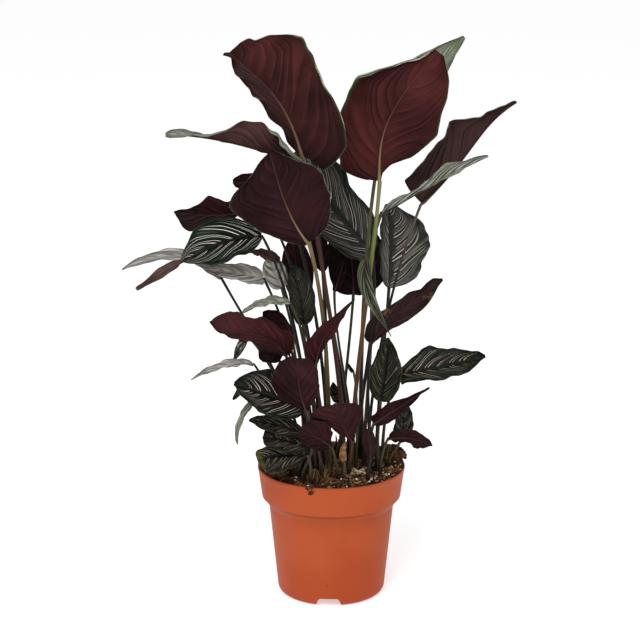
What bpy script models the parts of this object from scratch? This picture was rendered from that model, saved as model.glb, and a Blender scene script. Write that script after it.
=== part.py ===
"""Potted pinstripe calathea: a nursery pot, its soil, and one solid for each leafy stem.

Metres, +Z up. The origin is the centre of the pot's base, on the ground, and the leaves with
their burgundy undersides towards -Y are the front of the plant.
"""

import math

import bmesh
import bpy
import numpy as np
from mathutils import Vector

MM = 0.001

# Pot: outer sizes of a turned shell, about 19 cm across its rim
RIM_RADIUS = 0.0955
RIM_Z = 0.1704
BAND_RADIUS = 0.0900
BAND_Z = 0.1300
NECK_RADIUS = 0.0812
NECK_Z = 0.1196
FOOT_RADIUS = 0.0700
FOOT_ROUND = 0.0090
WALL = 0.0020
FLOOR_Z = 0.0130
RECESS_Z = 0.0100
FOOT_WIDTH = 0.0030
PAD_RADIUS = 0.0300
POT_STEPS = 36

# Six notches in the foot, and a drainage hole between each pair of them
NOTCHES = 3
NOTCH_WIDTH = 0.0360
NOTCH_TOP = 0.0108
NOTCH_TURN = math.radians(-3.0)
DRAINS = 6
DRAIN_RADIUS = 0.0040
DRAIN_RING = 0.0440

# Soil: its rough top, and the plain holes that the petioles stand in
GAP = 0.0003
SOIL_Z = 0.1690
SOIL_RINGS = (0.022, 0.042, 0.058, 0.072, 0.084)
MOUND = 0.0150
MOUND_AT = (0.078, 0.022)
MOUND_SPREAD = 0.022
HOLE_FLOOR = 0.1480
HOLE_SIDES = 6

# Leafy stems
STEM_RADIUS = 0.0022
STEM_SIDES = 6
STEM_POINTS = 6
STEM_TIP = 0.6
BLADE_THICKNESS = 0.0009
STATIONS = {7: (0.04, 0.14, 0.3, 0.48, 0.66, 0.82, 0.93),
            13: (0.02, 0.07, 0.14, 0.22, 0.31, 0.40, 0.50, 0.60, 0.69, 0.78, 0.86, 0.93, 0.975)}
LARGE_BLADE = 26
TINY_BLADE = 12
LARGE_GRID = (10, 4)
SMALL_GRID = (6, 4)
TINY_GRID = (4, 2)

BURGUNDY = ("leaf_burgundy", (0.085, 0.022, 0.022), 0.42)
GREEN = ("leaf_green", (0.020, 0.052, 0.028), 0.38)
PALE = ("leaf_pale", (0.16, 0.19, 0.15), 0.45)
TAN = ("dry_husk", (0.42, 0.27, 0.14), 0.75)
TERRACOTTA = ("pot_plastic", (0.485, 0.100, 0.046), 0.55)
EARTH = ("soil", (0.024, 0.013, 0.007), 0.95)

# Leaves, in millimetres. rib: points that the midrib runs through, from base to tip. faces: where the
# striped upper side looks, evenly spaced along the rib. right and left: half widths at STATIONS, as
# seen with the tip up and the upper side in front. fold and cup: degrees that each half rises at the
# rib and on to its margin. root: x and y of the petiole in the soil. lobe: reach of the base past the
# rib's start. scallop: depth and count of the notches of each margin. corners: outline less rounded.
AWAY = (0.0, 1.0, 0.15)
NEAR = (0.0, -1.0, 0.15)
LEAVES = {
    "crown_left": dict(
        rib=[(-35, -50, 582), (-59, -56, 646), (-89, -66, 685), (-124, -82, 719)],
        faces=[(0.14, 0.94, 0.31)],
        right=(1, 4, 22, 22, 37, 36, 41, 34, 36, 31, 20, 9, 17),
        left=(34, 56, 60, 60, 58, 60, 64, 70, 75, 62, 54, 34, 30),
        fold=(35, 5), cup=(0, 10), root=(16, -10), lobe=22, corners=True),
    "crown_right": dict(
        rib=[(60, -10, 546), (62, -14, 596), (80, -22, 645), (130, -42, 716)],
        faces=[(0.24, 0.97, 0.08)],
        right=(30, 52, 53, 58, 60, 61, 59, 58, 56, 38, 24, 12, 6),
        left=(2, 4, 14, 38, 48, 54, 58, 62, 58, 52, 46, 34, 18),
        fold=(5, 5), cup=(5, 5), root=(26, -5), corners=True),
    "crown_behind": dict(
        rib=[(61, 34, 578), (106, 58, 643), (171, 88, 715)],
        faces=[(0.4, -0.92, 0.06)],
        right=(15, 23, 26, 24, 19, 11, 5),
        left=(28, 42, 47, 44, 34, 21, 9),
        fold=(5, 5), cup=(5, 5), root=(38, 20)),
    "upper_left": dict(
        rib=[(-37, -8, 569), (-98, -44, 596), (-154, -75, 614), (-202, -90, 619)],
        faces=[(0.1, 0.75, 0.65), (0.05, 0.65, 0.75), (0, 0.6, 0.8), (0, -0.1, 1), (0, -0.7, 0.7)],
        right=(3, 3, 4, 4, 4, 4, 4, 5, 7, 13, 12, 7, 4),
        left=(4, 10, 17, 26, 38, 48, 40, 30, 22, 12, 9, 6, 4),
        fold=(15, 15), cup=(0, 0), root=(-8, -8), corners=True),
    "right_blade": dict(
        rib=[(114, 40, 506), (166, 50, 562), (198, 60, 602), (238, 74, 633)],
        faces=[(-0.33, 0.94, 0.07)],
        right=(38, 38, 40, 40, 39, 39, 44, 30, 18, 12, 8, 6, 4),
        left=(18, 26, 32, 36, 39, 40, 38, 34, 26, 18, 12, 8, 4),
        fold=(5, 72), cup=(10, 0), root=(48, 8), corners=True),
    "right_folded": dict(
        rib=[(63, 18, 500), (105, 15, 525), (149, 10, 551), (197, 0, 577)],
        faces=[(-0.2, -0.6, 0.8)],
        right=(3, 5, 7, 7, 6, 5, 9, 16, 20, 17, 10, 5, 3),
        left=(3, 6, 8, 7, 6, 5, 9, 14, 15, 10, 7, 5, 3),
        fold=(42, 40), cup=(0, 0), root=(40, 14), corners=True),
    "big_left": dict(
        rib=[(-28, -86, 484), (-55, -78, 529), (-76, -54, 594)],
        faces=[(0.27, 0.95, -0.16)],
        right=(7, 12, 18, 26, 36, 46, 56, 66, 72, 59, 32, 18, 4),
        left=(30, 34, 41, 46, 50, 54, 55, 55, 54, 47, 30, 16, 8),
        fold=(5, 5), cup=(5, 5), root=(-3, -28), corners=True),
    "left_striped": dict(
        rib=[(-86, -58, 487), (-131, -78, 484), (-185, -92, 462), (-241, -100, 429)],
        faces=[(-0.2, -0.8, 0.55), (-0.2, -0.8, 0.5), (-0.1, -0.7, 0.6), (0.1, 0.6, 0.6), (0.1, 0.9, 0.2)],
        right=(10, 15, 21, 28, 33, 33, 30, 22, 18, 11, 7, 6, 5),
        left=(6, 14, 21, 26, 24, 28, 26, 22, 16, 10, 6, 6, 5),
        fold=(10, 10), cup=(0, 0), root=(-28, -18), corners=True),
    "left_dark": dict(
        rib=[(-87, -12, 517), (-136, -34, 510), (-196, -48, 517)],
        faces=[(0, 0.75, 0.5)],
        right=(7, 7, 8, 8, 11, 14, 18, 24, 32, 38, 33, 16, 6),
        left=(2, 6, 10, 14, 18, 20, 22, 27, 28, 16, 8, 4, 1),
        fold=(10, 10), cup=(0, 0), root=(-15, 5), corners=True),
    "left_peek": dict(
        rib=[(-56, -12, 518), (-92, -15, 542), (-124, -18, 548)],
        faces=[(0, 0.8, 0.6)],
        right=(10, 12, 15, 17, 18, 18, 18, 18, 18, 17, 15, 12, 7),
        left=(4, 6, 9, 12, 14, 16, 18, 18, 17, 13, 10, 7, 4),
        fold=(10, 10), cup=(0, 0), root=(-5, 12), corners=True),
    "back_striped": dict(
        rib=[(52, 35, 445), (8, 56, 493), (-51, 84, 566)],
        faces=[(-0.2, -0.96, 0.22)],
        right=(11, 17, 26, 31, 36, 36, 34, 35, 42, 40, 33, 23, 16),
        left=(18, 22, 28, 30, 33, 35, 35, 36, 34, 31, 25, 16, 6),
        fold=(5, 5), cup=(5, 5), root=(35, 32), corners=True),
    "right_round": dict(
        rib=[(75, 60, 391), (77, 78, 445), (73, 94, 497)],
        faces=[(0.4, -0.87, 0.29)],
        right=(8, 25, 36, 41, 44, 50, 54, 54, 48, 42, 28, 16, 8),
        left=(12, 18, 22, 22, 20, 16, 9),
        fold=(5, 28), cup=(10, 0), root=(60, 25), corners=True),
    "shade_back": dict(
        rib=[(29, 78, 377), (27, 104, 416), (18, 128, 456)],
        faces=[(-0.02, 0.82, -0.57)],
        right=(19, 27, 31, 32, 30, 27, 21),
        left=(19, 33, 46, 49, 48, 43, 33),
        fold=(5, 5), cup=(10, 10), root=(12, 32), corners=True),
    "far_left": dict(
        rib=[(-138, -30, 426), (-191, -44, 459), (-261, -66, 446)],
        faces=[(0, -0.35, 0.94)],
        right=(9, 14, 16, 15, 12, 8, 4),
        left=(9, 14, 16, 15, 12, 8, 4),
        fold=(10, 10), cup=(0, 0), root=(-38, -2), corners=True),
    "pale_fold": dict(
        rib=[(-85, -42, 429), (-114, -54, 439), (-156, -62, 445)],
        faces=[(0, -0.6, 0.8)],
        right=(10, 14, 16, 15, 13, 10, 6),
        left=(10, 14, 16, 15, 13, 10, 6),
        fold=(10, 10), cup=(0, 0), root=(-30, 2)),
    "pale_upright": dict(
        rib=[(-63, -12, 409), (-72, -10, 430), (-79, -6, 448)],
        faces=[NEAR],
        right=(8, 12, 14, 15, 14, 11, 7),
        left=(8, 12, 14, 15, 14, 11, 7),
        fold=(10, 10), cup=(0, 0), root=(-22, 10)),
    "brown_small": dict(
        rib=[(-66, -24, 447), (-85, -30, 458), (-104, -36, 462)],
        faces=[(0, 0.8, 0.6)],
        right=(5, 8, 9, 9, 7, 5, 3),
        left=(5, 8, 9, 9, 7, 5, 3),
        fold=(10, 10), cup=(0, 0), root=(-20, -2)),
    "inner_hanging": dict(
        rib=[(-36, -46, 370), (-40, -52, 411), (-49, -56, 449)],
        faces=[(0.32, -0.95, -0.05)],
        right=(10, 15, 18, 19, 17, 13, 8),
        left=(8, 12, 14, 15, 14, 11, 6),
        fold=(10, 10), cup=(0, 0), root=(-14, -32)),
    "thin_left": dict(
        rib=[(-52, -67, 405), (-84, -76, 406), (-111, -86, 396)],
        faces=[(0, -0.05, 1)],
        right=(12, 17, 18, 14, 10, 7, 4),
        left=(12, 17, 18, 14, 10, 7, 4),
        fold=(10, 10), cup=(0, 0), root=(-21, -38)),
    "long_burgundy": dict(
        rib=[(-57, -58, 333), (-81, -80, 364), (-115, -102, 379), (-148, -125, 398)],
        faces=[(0, 0.9, 0.5)],
        right=(6, 14, 20, 22, 22, 19, 20, 16, 18, 14, 11, 6, 4),
        left=(7, 14, 21, 24, 23, 26, 28, 27, 26, 28, 28, 27, 18),
        fold=(5, 5), cup=(0, 0), root=(-27, -40), corners=True),
    "dark_behind": dict(
        rib=[(-50, -41, 354), (-65, -47, 380), (-87, -54, 388)],
        faces=[(-0.28, 0.96, 0.06)],
        right=(5, 8, 11, 13, 14, 15, 16, 15, 14, 14, 14, 13, 12),
        left=(2, 3, 4, 4, 4, 5, 6, 6, 6, 4, 4, 3, 2),
        fold=(5, 5), cup=(0, 0), root=(-32, -27), corners=True),
    "low_tip": dict(
        rib=[(-60, -42, 343), (-75, -48, 338), (-89, -55, 326)],
        faces=[AWAY],
        right=(8, 14, 18, 19, 17, 12, 7),
        left=(9, 16, 20, 20, 17, 12, 7),
        fold=(5, 5), cup=(0, 0), root=(-36, -18)),
    "thin_low": dict(
        rib=[(-98, -52, 321), (-132, -66, 324), (-177, -78, 308)],
        faces=[(0, -0.15, 0.98)],
        right=(6, 9, 11, 11, 9, 6, 3),
        left=(6, 9, 11, 11, 9, 6, 3),
        fold=(10, 10), cup=(0, 0), root=(-48, -20)),
    "thin_drop": dict(
        rib=[(-107, -36, 354), (-116, -34, 337), (-124, -36, 319)],
        faces=[NEAR],
        right=(3, 5, 6, 6, 5, 3, 2),
        left=(3, 5, 6, 6, 5, 3, 2),
        fold=(20, 20), cup=(0, 0), root=(-44, -8)),
    "low_striped": dict(
        rib=[(-35, -58, 265), (-79, -84, 289), (-122, -100, 309)],
        faces=[(-0.2, -0.8, 0.6)],
        right=(4, 9, 15, 21, 27, 31, 34, 32, 28, 24, 18, 12, 6),
        left=(7, 15, 20, 24, 26, 26, 26, 26, 22, 16, 12, 7, 2),
        fold=(10, 10), cup=(0, 0), root=(-20, -47), corners=True),
    "round_burgundy": dict(
        rib=[(-31, -84, 269), (-40, -104, 308), (-42, -122, 350)],
        faces=[(0.26, 0.84, 0.47)],
        right=(8, 16, 25, 33, 38, 40, 39, 35, 32, 28, 24, 16, 10),
        left=(3, 6, 10, 15, 20, 24, 25, 26, 26, 25, 23, 21, 18),
        fold=(5, 5), cup=(10, 10), root=(-12, -55), corners=True),
    "thin_hanging": dict(
        rib=[(-93, -62, 279), (-113, -72, 253), (-119, -74, 221)],
        faces=[(-0.6, -0.8, 0.3)],
        right=(5, 8, 9, 9, 7, 5, 3),
        left=(5, 8, 9, 9, 7, 5, 3),
        fold=(30, 40), cup=(0, 0), root=(-52, -38)),
    "rim_upper": dict(
        rib=[(-30, -62, 232), (-71, -76, 249), (-104, -84, 257)],
        faces=[(0, -0.7, 0.7)],
        right=(2, 5, 8, 11, 13, 14, 14, 13, 10, 8, 6, 4, 2),
        left=(2, 8, 14, 14, 16, 16, 14, 14, 12, 10, 6, 4, 2),
        fold=(10, 10), cup=(0, 0), root=(-42, -50), corners=True),
    "rim_middle": dict(
        rib=[(-25, -68, 216), (-59, -78, 229), (-87, -85, 235)],
        faces=[(0, -0.7, 0.7)],
        right=(1, 3, 6, 9, 12, 14, 15, 14, 14, 13, 11, 10, 2),
        left=(1, 4, 10, 14, 16, 17, 18, 18, 18, 18, 16, 13, 10),
        fold=(10, 10), cup=(0, 0), root=(-37, -62), corners=True),
    "rim_lower": dict(
        rib=[(-30, -72, 206), (-65, -82, 210), (-94, -88, 206)],
        faces=[(0, -0.7, 0.7)],
        right=(0, 2, 5, 8, 12, 14, 16, 16, 16, 14, 13, 12, 10),
        left=(2, 6, 12, 16, 20, 22, 24, 26, 26, 26, 22, 14, 9),
        fold=(10, 10), cup=(0, 0), root=(-26, -70), corners=True),
    "pointed_burgundy": dict(
        rib=[(-20, -58, 320), (-8, -66, 364), (29, -72, 412)],
        faces=[(-0.27, 0.92, 0.29)],
        right=(0, 6, 14, 18, 20, 17, 14, 10, 6, 4, 2, 1, 1),
        left=(2, 4, 5, 6, 8, 10, 12, 12, 10, 8, 4, 2, 1),
        fold=(5, 5), cup=(5, 5), root=(-6, -44), corners=True),
    "centre_hanging": dict(
        rib=[(44, -20, 450), (43, -28, 417), (57, -45, 387), (74, -72, 362)],
        faces=[NEAR],
        right=(9, 13, 14, 12, 8, 4, 1),
        left=(9, 13, 14, 12, 8, 4, 1),
        fold=(50, 50), cup=(0, 0), root=(42, -8), corners=True),
    "dark_right": dict(
        rib=[(50, -28, 339), (86, -42, 386), (139, -58, 433)],
        faces=[(0.33, 0.94, -0.01)],
        right=(12, 16, 20, 21, 20, 16, 14, 12, 12, 6, 8, 8, 3),
        left=(1, 2, 4, 6, 8, 12, 15, 16, 16, 14, 9, 4, 2),
        fold=(5, 5), cup=(5, 5), root=(50, -15), corners=True),
    "green_right": dict(
        rib=[(62, -48, 270), (67, -38, 309), (71, -22, 348)],
        faces=[(-0.35, -0.87, 0.33)],
        right=(13, 19, 24, 25, 20, 13, 6),
        left=(9, 15, 19, 19, 15, 10, 4),
        fold=(10, 10), cup=(0, 0), root=(58, -28)),
    "right_striped": dict(
        rib=[(87, -18, 299), (140, -24, 309), (196, -30, 325)],
        faces=[(0, -0.8, 0.6)],
        right=(18, 16, 15, 16, 16, 18, 20, 18, 18, 16, 12, 5, 2),
        left=(6, 10, 16, 22, 28, 30, 26, 22, 20, 16, 12, 9, 4),
        fold=(15, 15), cup=(0, 0), root=(66, -8), corners=True),
    "low_right": dict(
        rib=[(53, -60, 244), (83, -74, 270), (123, -84, 300)],
        faces=[(0.32, 0.95, 0.01)],
        right=(10, 10, 10, 12, 11, 12, 10, 8, 5, 4, 3, 2, 2),
        left=(4, 6, 8, 10, 10, 10, 8, 7, 6, 4, 1, 1, 1),
        fold=(5, 5), cup=(5, 5), root=(48, -42), corners=True),
    "small_striped": dict(
        rib=[(89, -28, 212), (92, -30, 237), (93, -32, 263)],
        faces=[(0.4, -0.91, -0.1)],
        right=(8, 12, 14, 14, 12, 9, 6),
        left=(8, 12, 14, 14, 12, 9, 6),
        fold=(10, 10), cup=(0, 0), root=(72, -18)),
    "small_right": dict(
        rib=[(72, -50, 222), (99, -64, 228), (128, -74, 221)],
        faces=[(0, 0.8, 0.6)],
        right=(1, 5, 11, 14, 18, 18, 17, 16, 16, 12, 8, 4, 1),
        left=(14, 13, 12, 13, 14, 17, 22, 24, 22, 18, 13, 6, 4),
        fold=(5, 5), cup=(0, 0), root=(62, -38), corners=True),
    "low_centre": dict(
        rib=[(26, -52, 218), (13, -72, 248), (0, -96, 282)],
        faces=[(-0.16, 0.84, 0.53)],
        right=(2, 3, 4, 6, 11, 14, 17, 22, 28, 33, 32, 27, 16),
        left=(3, 6, 9, 13, 18, 23, 29, 32, 32, 28, 22, 12, 6),
        fold=(5, 5), cup=(10, 10), root=(22, -40), corners=True),
    "low_front": dict(
        rib=[(0, -70, 217), (-20, -80, 234), (-42, -88, 240)],
        faces=[AWAY],
        right=(12, 16, 18, 19, 19, 19, 18, 18, 16, 14, 12, 8, 4),
        left=(2, 4, 6, 16, 18, 21, 22, 21, 20, 18, 14, 10, 6),
        fold=(5, 5), cup=(10, 10), root=(8, -58), corners=True),
    "sprout": dict(
        rib=[(28, -20, 301), (23, -24, 308), (19, -28, 317)],
        faces=[NEAR],
        right=(2, 3, 3, 3, 3, 2, 1),
        left=(2, 3, 3, 3, 3, 2, 1),
        fold=(30, 30), cup=(0, 0), root=(32, -20)),
    "dry_husk": dict(
        rib=[(16, -60, 194), (13, -62, 208), (18, -60, 220)],
        faces=[(0.3, -0.9, 0.1)],
        right=(4, 5, 6, 6, 5, 4, 3),
        left=(3, 4, 5, 5, 4, 3, 2),
        fold=(35, 35), cup=(0, 0), root=(16, -60)),
    "dark_sheath": dict(
        rib=[(49, -61, 199), (48, -63, 220), (45, -64, 240)],
        faces=[AWAY],
        right=(4, 6, 8, 9, 9, 7, 4),
        left=(5, 7, 9, 9, 8, 7, 4),
        fold=(20, 20), cup=(0, 0), root=(46, -60)),
    "shade_left": dict(
        rib=[(-40, 44, 379), (-45, 54, 417), (-50, 62, 458)],
        faces=[AWAY],
        right=(8, 14, 18, 20, 18, 14, 8),
        left=(8, 16, 20, 22, 20, 16, 10),
        fold=(5, 5), cup=(5, 5), root=(-8, 40)),
    "inner_small": dict(
        rib=[(8, -8, 256), (4, -10, 271), (2, -12, 285)],
        faces=[NEAR],
        right=(3, 5, 7, 7, 6, 4, 2),
        left=(3, 5, 6, 6, 5, 4, 2),
        fold=(10, 10), cup=(0, 0), root=(14, -2)),
    "shade_mid": dict(
        rib=[(-10, 60, 413), (-13, 68, 440), (-16, 76, 470)],
        faces=[AWAY],
        right=(5, 9, 12, 14, 13, 10, 6),
        left=(4, 7, 9, 10, 9, 8, 5),
        fold=(6, 6), cup=(0, 0), root=(24, 14)),
    "shade_inner": dict(
        rib=[(4, 64, 385), (10, 68, 405), (16, 72, 426)],
        faces=[AWAY],
        right=(3, 4, 6, 6, 5, 4, 2),
        left=(3, 5, 7, 8, 7, 5, 3),
        fold=(6, 6), cup=(0, 0), root=(29, 26)),
    "tip_small": dict(
        rib=[(-107, -44, 294), (-116, -47, 284), (-125, -50, 273)],
        faces=[NEAR],
        right=(3, 4, 5, 5, 4, 3, 2),
        left=(3, 4, 5, 5, 4, 3, 2),
        fold=(20, 20), cup=(0, 0), root=(-56, -26)),
}
PALE_LEAVES = ("pale_fold", "pale_upright", "thin_left", "thin_low", "centre_hanging")


def material(look):
    """Return the Principled material of a look (name, colour, roughness), made once."""
    name, colour, roughness = look
    found = bpy.data.materials.get(name)
    if found:
        return found
    made = bpy.data.materials.new(name)
    made.use_nodes = True
    shader = made.node_tree.nodes["Principled BSDF"]
    shader.inputs["Base Color"].default_value = (*colour, 1.0)
    shader.inputs["Roughness"].default_value = roughness
    shader.inputs["Metallic"].default_value = 0.0
    return made


def add_object(name, mesh, collection, look=None):
    """Link a new object with this mesh to a collection, and give it its material."""
    made = bpy.data.objects.new(name, mesh)
    collection.objects.link(made)
    if look:
        made.data.materials.clear()
        made.data.materials.append(material(look))
    return made


def evaluated_mesh(source):
    """Return a new mesh of an object as its modifiers leave it."""
    graph = bpy.context.evaluated_depsgraph_get()
    return bpy.data.meshes.new_from_object(source.evaluated_get(graph))


def remove(*objects):
    """Remove helper objects."""
    for item in objects:
        bpy.data.objects.remove(item, do_unlink=True)


def turned(name, profile, steps, collection):
    """Return an object that turns a profile of (radius, z) points, top to bottom, about Z."""
    mesh = bpy.data.meshes.new(name)
    points = [(radius, 0.0, z) for radius, z in profile]
    mesh.from_pydata(points, [(i, i + 1) for i in range(len(points) - 1)], [])
    made = add_object(name, mesh, collection)
    screw = made.modifiers.new("Turn", "SCREW")
    screw.steps = steps
    screw.render_steps = steps
    screw.use_merge_vertices = True
    screw.merge_threshold = 0.00005
    screw.use_smooth_shade = True
    return made


def inner_radius(z):
    """Inner radius of the pot's wall at a height above its floor."""
    heights = (FLOOR_Z, NECK_Z, BAND_Z, RIM_Z)
    radii = (FOOT_RADIUS - WALL, NECK_RADIUS - WALL, BAND_RADIUS - WALL, RIM_RADIUS - WALL)
    return float(np.interp(z, heights, radii))


def pot_profile():
    """Profile of the pot from its inner floor over the rim and down to the middle of its base."""
    inside = [(0.0, FLOOR_Z), (inner_radius(FLOOR_Z) - 0.003, FLOOR_Z)]
    inside += [(inner_radius(FLOOR_Z + 0.003), FLOOR_Z + 0.003)]
    inside += [(inner_radius(NECK_Z), NECK_Z), (inner_radius(BAND_Z), BAND_Z)]
    rim = [(inner_radius(RIM_Z), RIM_Z - 0.0005), (RIM_RADIUS - 0.0014, RIM_Z)]
    rim += [(RIM_RADIUS - 0.0005, RIM_Z), (RIM_RADIUS, RIM_Z - 0.0006)]
    outside = [(BAND_RADIUS, BAND_Z), (BAND_RADIUS - 0.0008, BAND_Z - 0.0012), (NECK_RADIUS, NECK_Z)]
    outside += [(FOOT_RADIUS, FOOT_ROUND)]
    for turn in (30.0, 60.0, 90.0):
        reach = 0.8 * FOOT_ROUND * (1.0 - math.cos(math.radians(turn)))
        outside.append((FOOT_RADIUS - reach, FOOT_ROUND * (1.0 - math.sin(math.radians(turn)))))
    foot = outside[-1][0] - FOOT_WIDTH
    under = [(foot, 0.0), (foot - 0.001, RECESS_Z), (PAD_RADIUS + 0.002, RECESS_Z), (PAD_RADIUS, 0.0)]
    return inside + rim + outside + under + [(0.0, 0.0)]


def make_pot(parts, cutters):
    """Turned pot with notches in its foot and drainage holes in its floor."""
    pot = turned("pot", pot_profile(), POT_STEPS, parts)
    pot.data.materials.append(material(TERRACOTTA))
    shapes = bmesh.new()
    for i in range(NOTCHES):
        turn = NOTCH_TURN + 2.0 * math.pi * i / NOTCHES
        before = set(shapes.verts)
        bmesh.ops.create_cube(shapes, size=1.0)
        for vert in set(shapes.verts) - before:
            narrow = 1.0 - 0.25 * (vert.co.z > 0)
            across = -vert.co.x * NOTCH_WIDTH * narrow
            out = FOOT_RADIUS + vert.co.y * 0.030
            height = NOTCH_TOP if vert.co.z > 0 else -0.002
            vert.co = (math.cos(turn) * across + math.sin(turn) * out,
                       math.sin(turn) * across - math.cos(turn) * out, height)
    for i in range(DRAINS):
        turn = NOTCH_TURN + math.pi * (2 * i + 1) / DRAINS
        before = set(shapes.verts)
        bmesh.ops.create_cone(shapes, cap_ends=True, segments=12, radius1=DRAIN_RADIUS,
                              radius2=DRAIN_RADIUS, depth=0.012)
        move = Vector((math.sin(turn) * DRAIN_RING, -math.cos(turn) * DRAIN_RING, FLOOR_Z))
        bmesh.ops.translate(shapes, verts=list(set(shapes.verts) - before), vec=move)
    mesh = bpy.data.meshes.new("foot_cuts")
    shapes.to_mesh(mesh)
    shapes.free()
    cutter = add_object("foot_cuts", mesh, cutters)
    cutter.hide_render = True
    cutter.display_type = "WIRE"
    cut = pot.modifiers.new("Foot", "BOOLEAN")
    cut.operation = "DIFFERENCE"
    cut.object = cutter
    return pot


def soil_height(x, y):
    """Height of the soil's rough top, with its mound against the back right of the rim."""
    rise = math.exp(-((x - MOUND_AT[0]) ** 2 + (y - MOUND_AT[1]) ** 2) / (2.0 * MOUND_SPREAD ** 2))
    rough = math.sin(118.0 * x + 0.7) * math.sin(97.0 * y + 1.9) + 0.6 * math.sin(190.0 * x - 150.0 * y)
    return SOIL_Z + MOUND * rise + 0.0013 * rough


def make_soil(parts, cutters):
    """Filling of the pot, a gap clear of its wall, with a plain hole for each petiole."""
    top = [(0.0, SOIL_Z)] + [(radius, SOIL_Z) for radius in SOIL_RINGS]
    edge = [(inner_radius(SOIL_Z) - GAP, SOIL_Z)]
    side = [(inner_radius(z) - GAP, z) for z in (BAND_Z, NECK_Z - GAP, FLOOR_Z + 0.003)]
    base = [(inner_radius(FLOOR_Z) - 0.003 - GAP, FLOOR_Z + GAP), (0.0, FLOOR_Z + GAP)]
    side = [(radius, z + GAP) for radius, z in side]
    plain = turned("plain_soil", top + edge + side + base, POT_STEPS, parts)
    soil = add_object("soil", evaluated_mesh(plain), parts, EARTH)
    remove(plain)
    for vert in soil.data.vertices:
        if vert.co.z > SOIL_Z - 0.001:
            reach = math.hypot(vert.co.x, vert.co.y)
            settle = 0.35 if reach > SOIL_RINGS[-1] + 0.001 else 1.0
            height = soil_height(vert.co.x, vert.co.y)
            vert.co.z = SOIL_Z - 0.0010 * (settle < 1.0) + settle * (height - SOIL_Z)
            room = (inner_radius(min(vert.co.z, RIM_Z)) - GAP) / max(reach, 1e-6)
            if room < 1.0:
                vert.co.x *= room
                vert.co.y *= room
    shapes = bmesh.new()
    radius = (STEM_RADIUS + GAP) / math.cos(math.pi / HOLE_SIDES) + 0.0001
    for leaf in LEAVES.values():
        before = set(shapes.verts)
        bmesh.ops.create_cone(shapes, cap_ends=True, segments=HOLE_SIDES, radius1=radius,
                              radius2=radius, depth=0.060)
        move = Vector((leaf["root"][0] * MM, leaf["root"][1] * MM, HOLE_FLOOR + 0.030))
        bmesh.ops.translate(shapes, verts=list(set(shapes.verts) - before), vec=move)
    mesh = bpy.data.meshes.new("petiole_holes")
    shapes.to_mesh(mesh)
    shapes.free()
    cutter = add_object("petiole_holes", mesh, cutters)
    cutter.hide_render = True
    cutter.display_type = "WIRE"
    cut = soil.modifiers.new("Petioles", "BOOLEAN")
    cut.operation = "DIFFERENCE"
    cut.object = cutter
    return soil


def through(points, s):
    """Point at s, 0 to 1, on the smooth curve through evenly spaced points."""
    knots = np.linspace(0.0, 1.0, len(points))
    place = np.zeros(3)
    for i, point in enumerate(points):
        weight = 1.0
        for j, knot in enumerate(knots):
            if j != i:
                weight *= (s - knot) / (knots[i] - knot)
        place += weight * np.asarray(point, float)
    return place


def unit(vector):
    """Vector of length one."""
    return vector / np.linalg.norm(vector)


def blade_frame(leaf, s):
    """Point on the midrib at s with its tangent, the upper side's normal and the side vector."""
    point = through(leaf["rib"], s)
    tangent = unit(through(leaf["rib"], s + 0.001) - through(leaf["rib"], s - 0.001))
    faces = np.asarray(leaf["faces"], float)
    stops = np.linspace(0.0, 1.0, len(faces))
    face = np.array([np.interp(s, stops, faces[:, k]) for k in range(3)])
    normal = unit(face - face.dot(tangent) * tangent)
    return point, tangent, normal, np.cross(tangent, normal)


def half_width(leaf, s, side):
    """Width in millimetres from the midrib to the right (0) or left (1) margin at s."""
    s = min(max(s, 1e-6), 1.0 - 1e-6)
    given = tuple(leaf["left" if side else "right"])
    knots = np.arccos(1.0 - 2.0 * np.array((0.0,) + STATIONS[len(given)] + (1.0,)))
    widths = np.array((0.0,) + given + (0.0,))
    at = math.acos(1.0 - 2.0 * s)
    i = min(max(int(np.searchsorted(knots, at)) - 1, 0), len(knots) - 2)
    step = knots[i + 1] - knots[i]
    u = (at - knots[i]) / step
    slope = np.gradient(widths, knots) * step
    width = (2 * u ** 3 - 3 * u ** 2 + 1) * widths[i] + (u ** 3 - 2 * u ** 2 + u) * slope[i]
    width += (3 * u ** 2 - 2 * u ** 3) * widths[i + 1] + (u ** 3 - u ** 2) * slope[i + 1]
    if leaf.get("corners"):
        width = 0.65 * (widths[i] + (widths[i + 1] - widths[i]) * u) + 0.35 * width
    depth, count = leaf.get("scallop", ((0.0, 0), (0.0, 0)))[side]
    width *= 1.0 - depth * (1.0 - abs(math.sin(math.pi * (count * s + 0.37 * side)))) ** 2
    return max(width, 0.8)


def blade_point(leaf, s, x):
    """Point in metres of the blade at s along it and x, -1 to 1, across it."""
    point, tangent, normal, beside = blade_frame(leaf, s)
    side = 0 if x > 0 else 1
    v = abs(x)
    width = half_width(leaf, s, side)
    fold = math.radians(leaf["fold"][side])
    cup = math.radians(max(leaf["cup"][side], 0.1))
    across = width * (math.sin(fold + cup * v) - math.sin(fold)) / cup
    rise = width * (math.cos(fold) - math.cos(fold + cup * v)) / cup
    back = leaf.get("lobe", 0.0) * v ** 2 * (1.0 - s) ** 5
    way = 1.0 if x > 0 else -1.0
    return (point + beside * across * way + normal * rise - tangent * back) * MM


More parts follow.
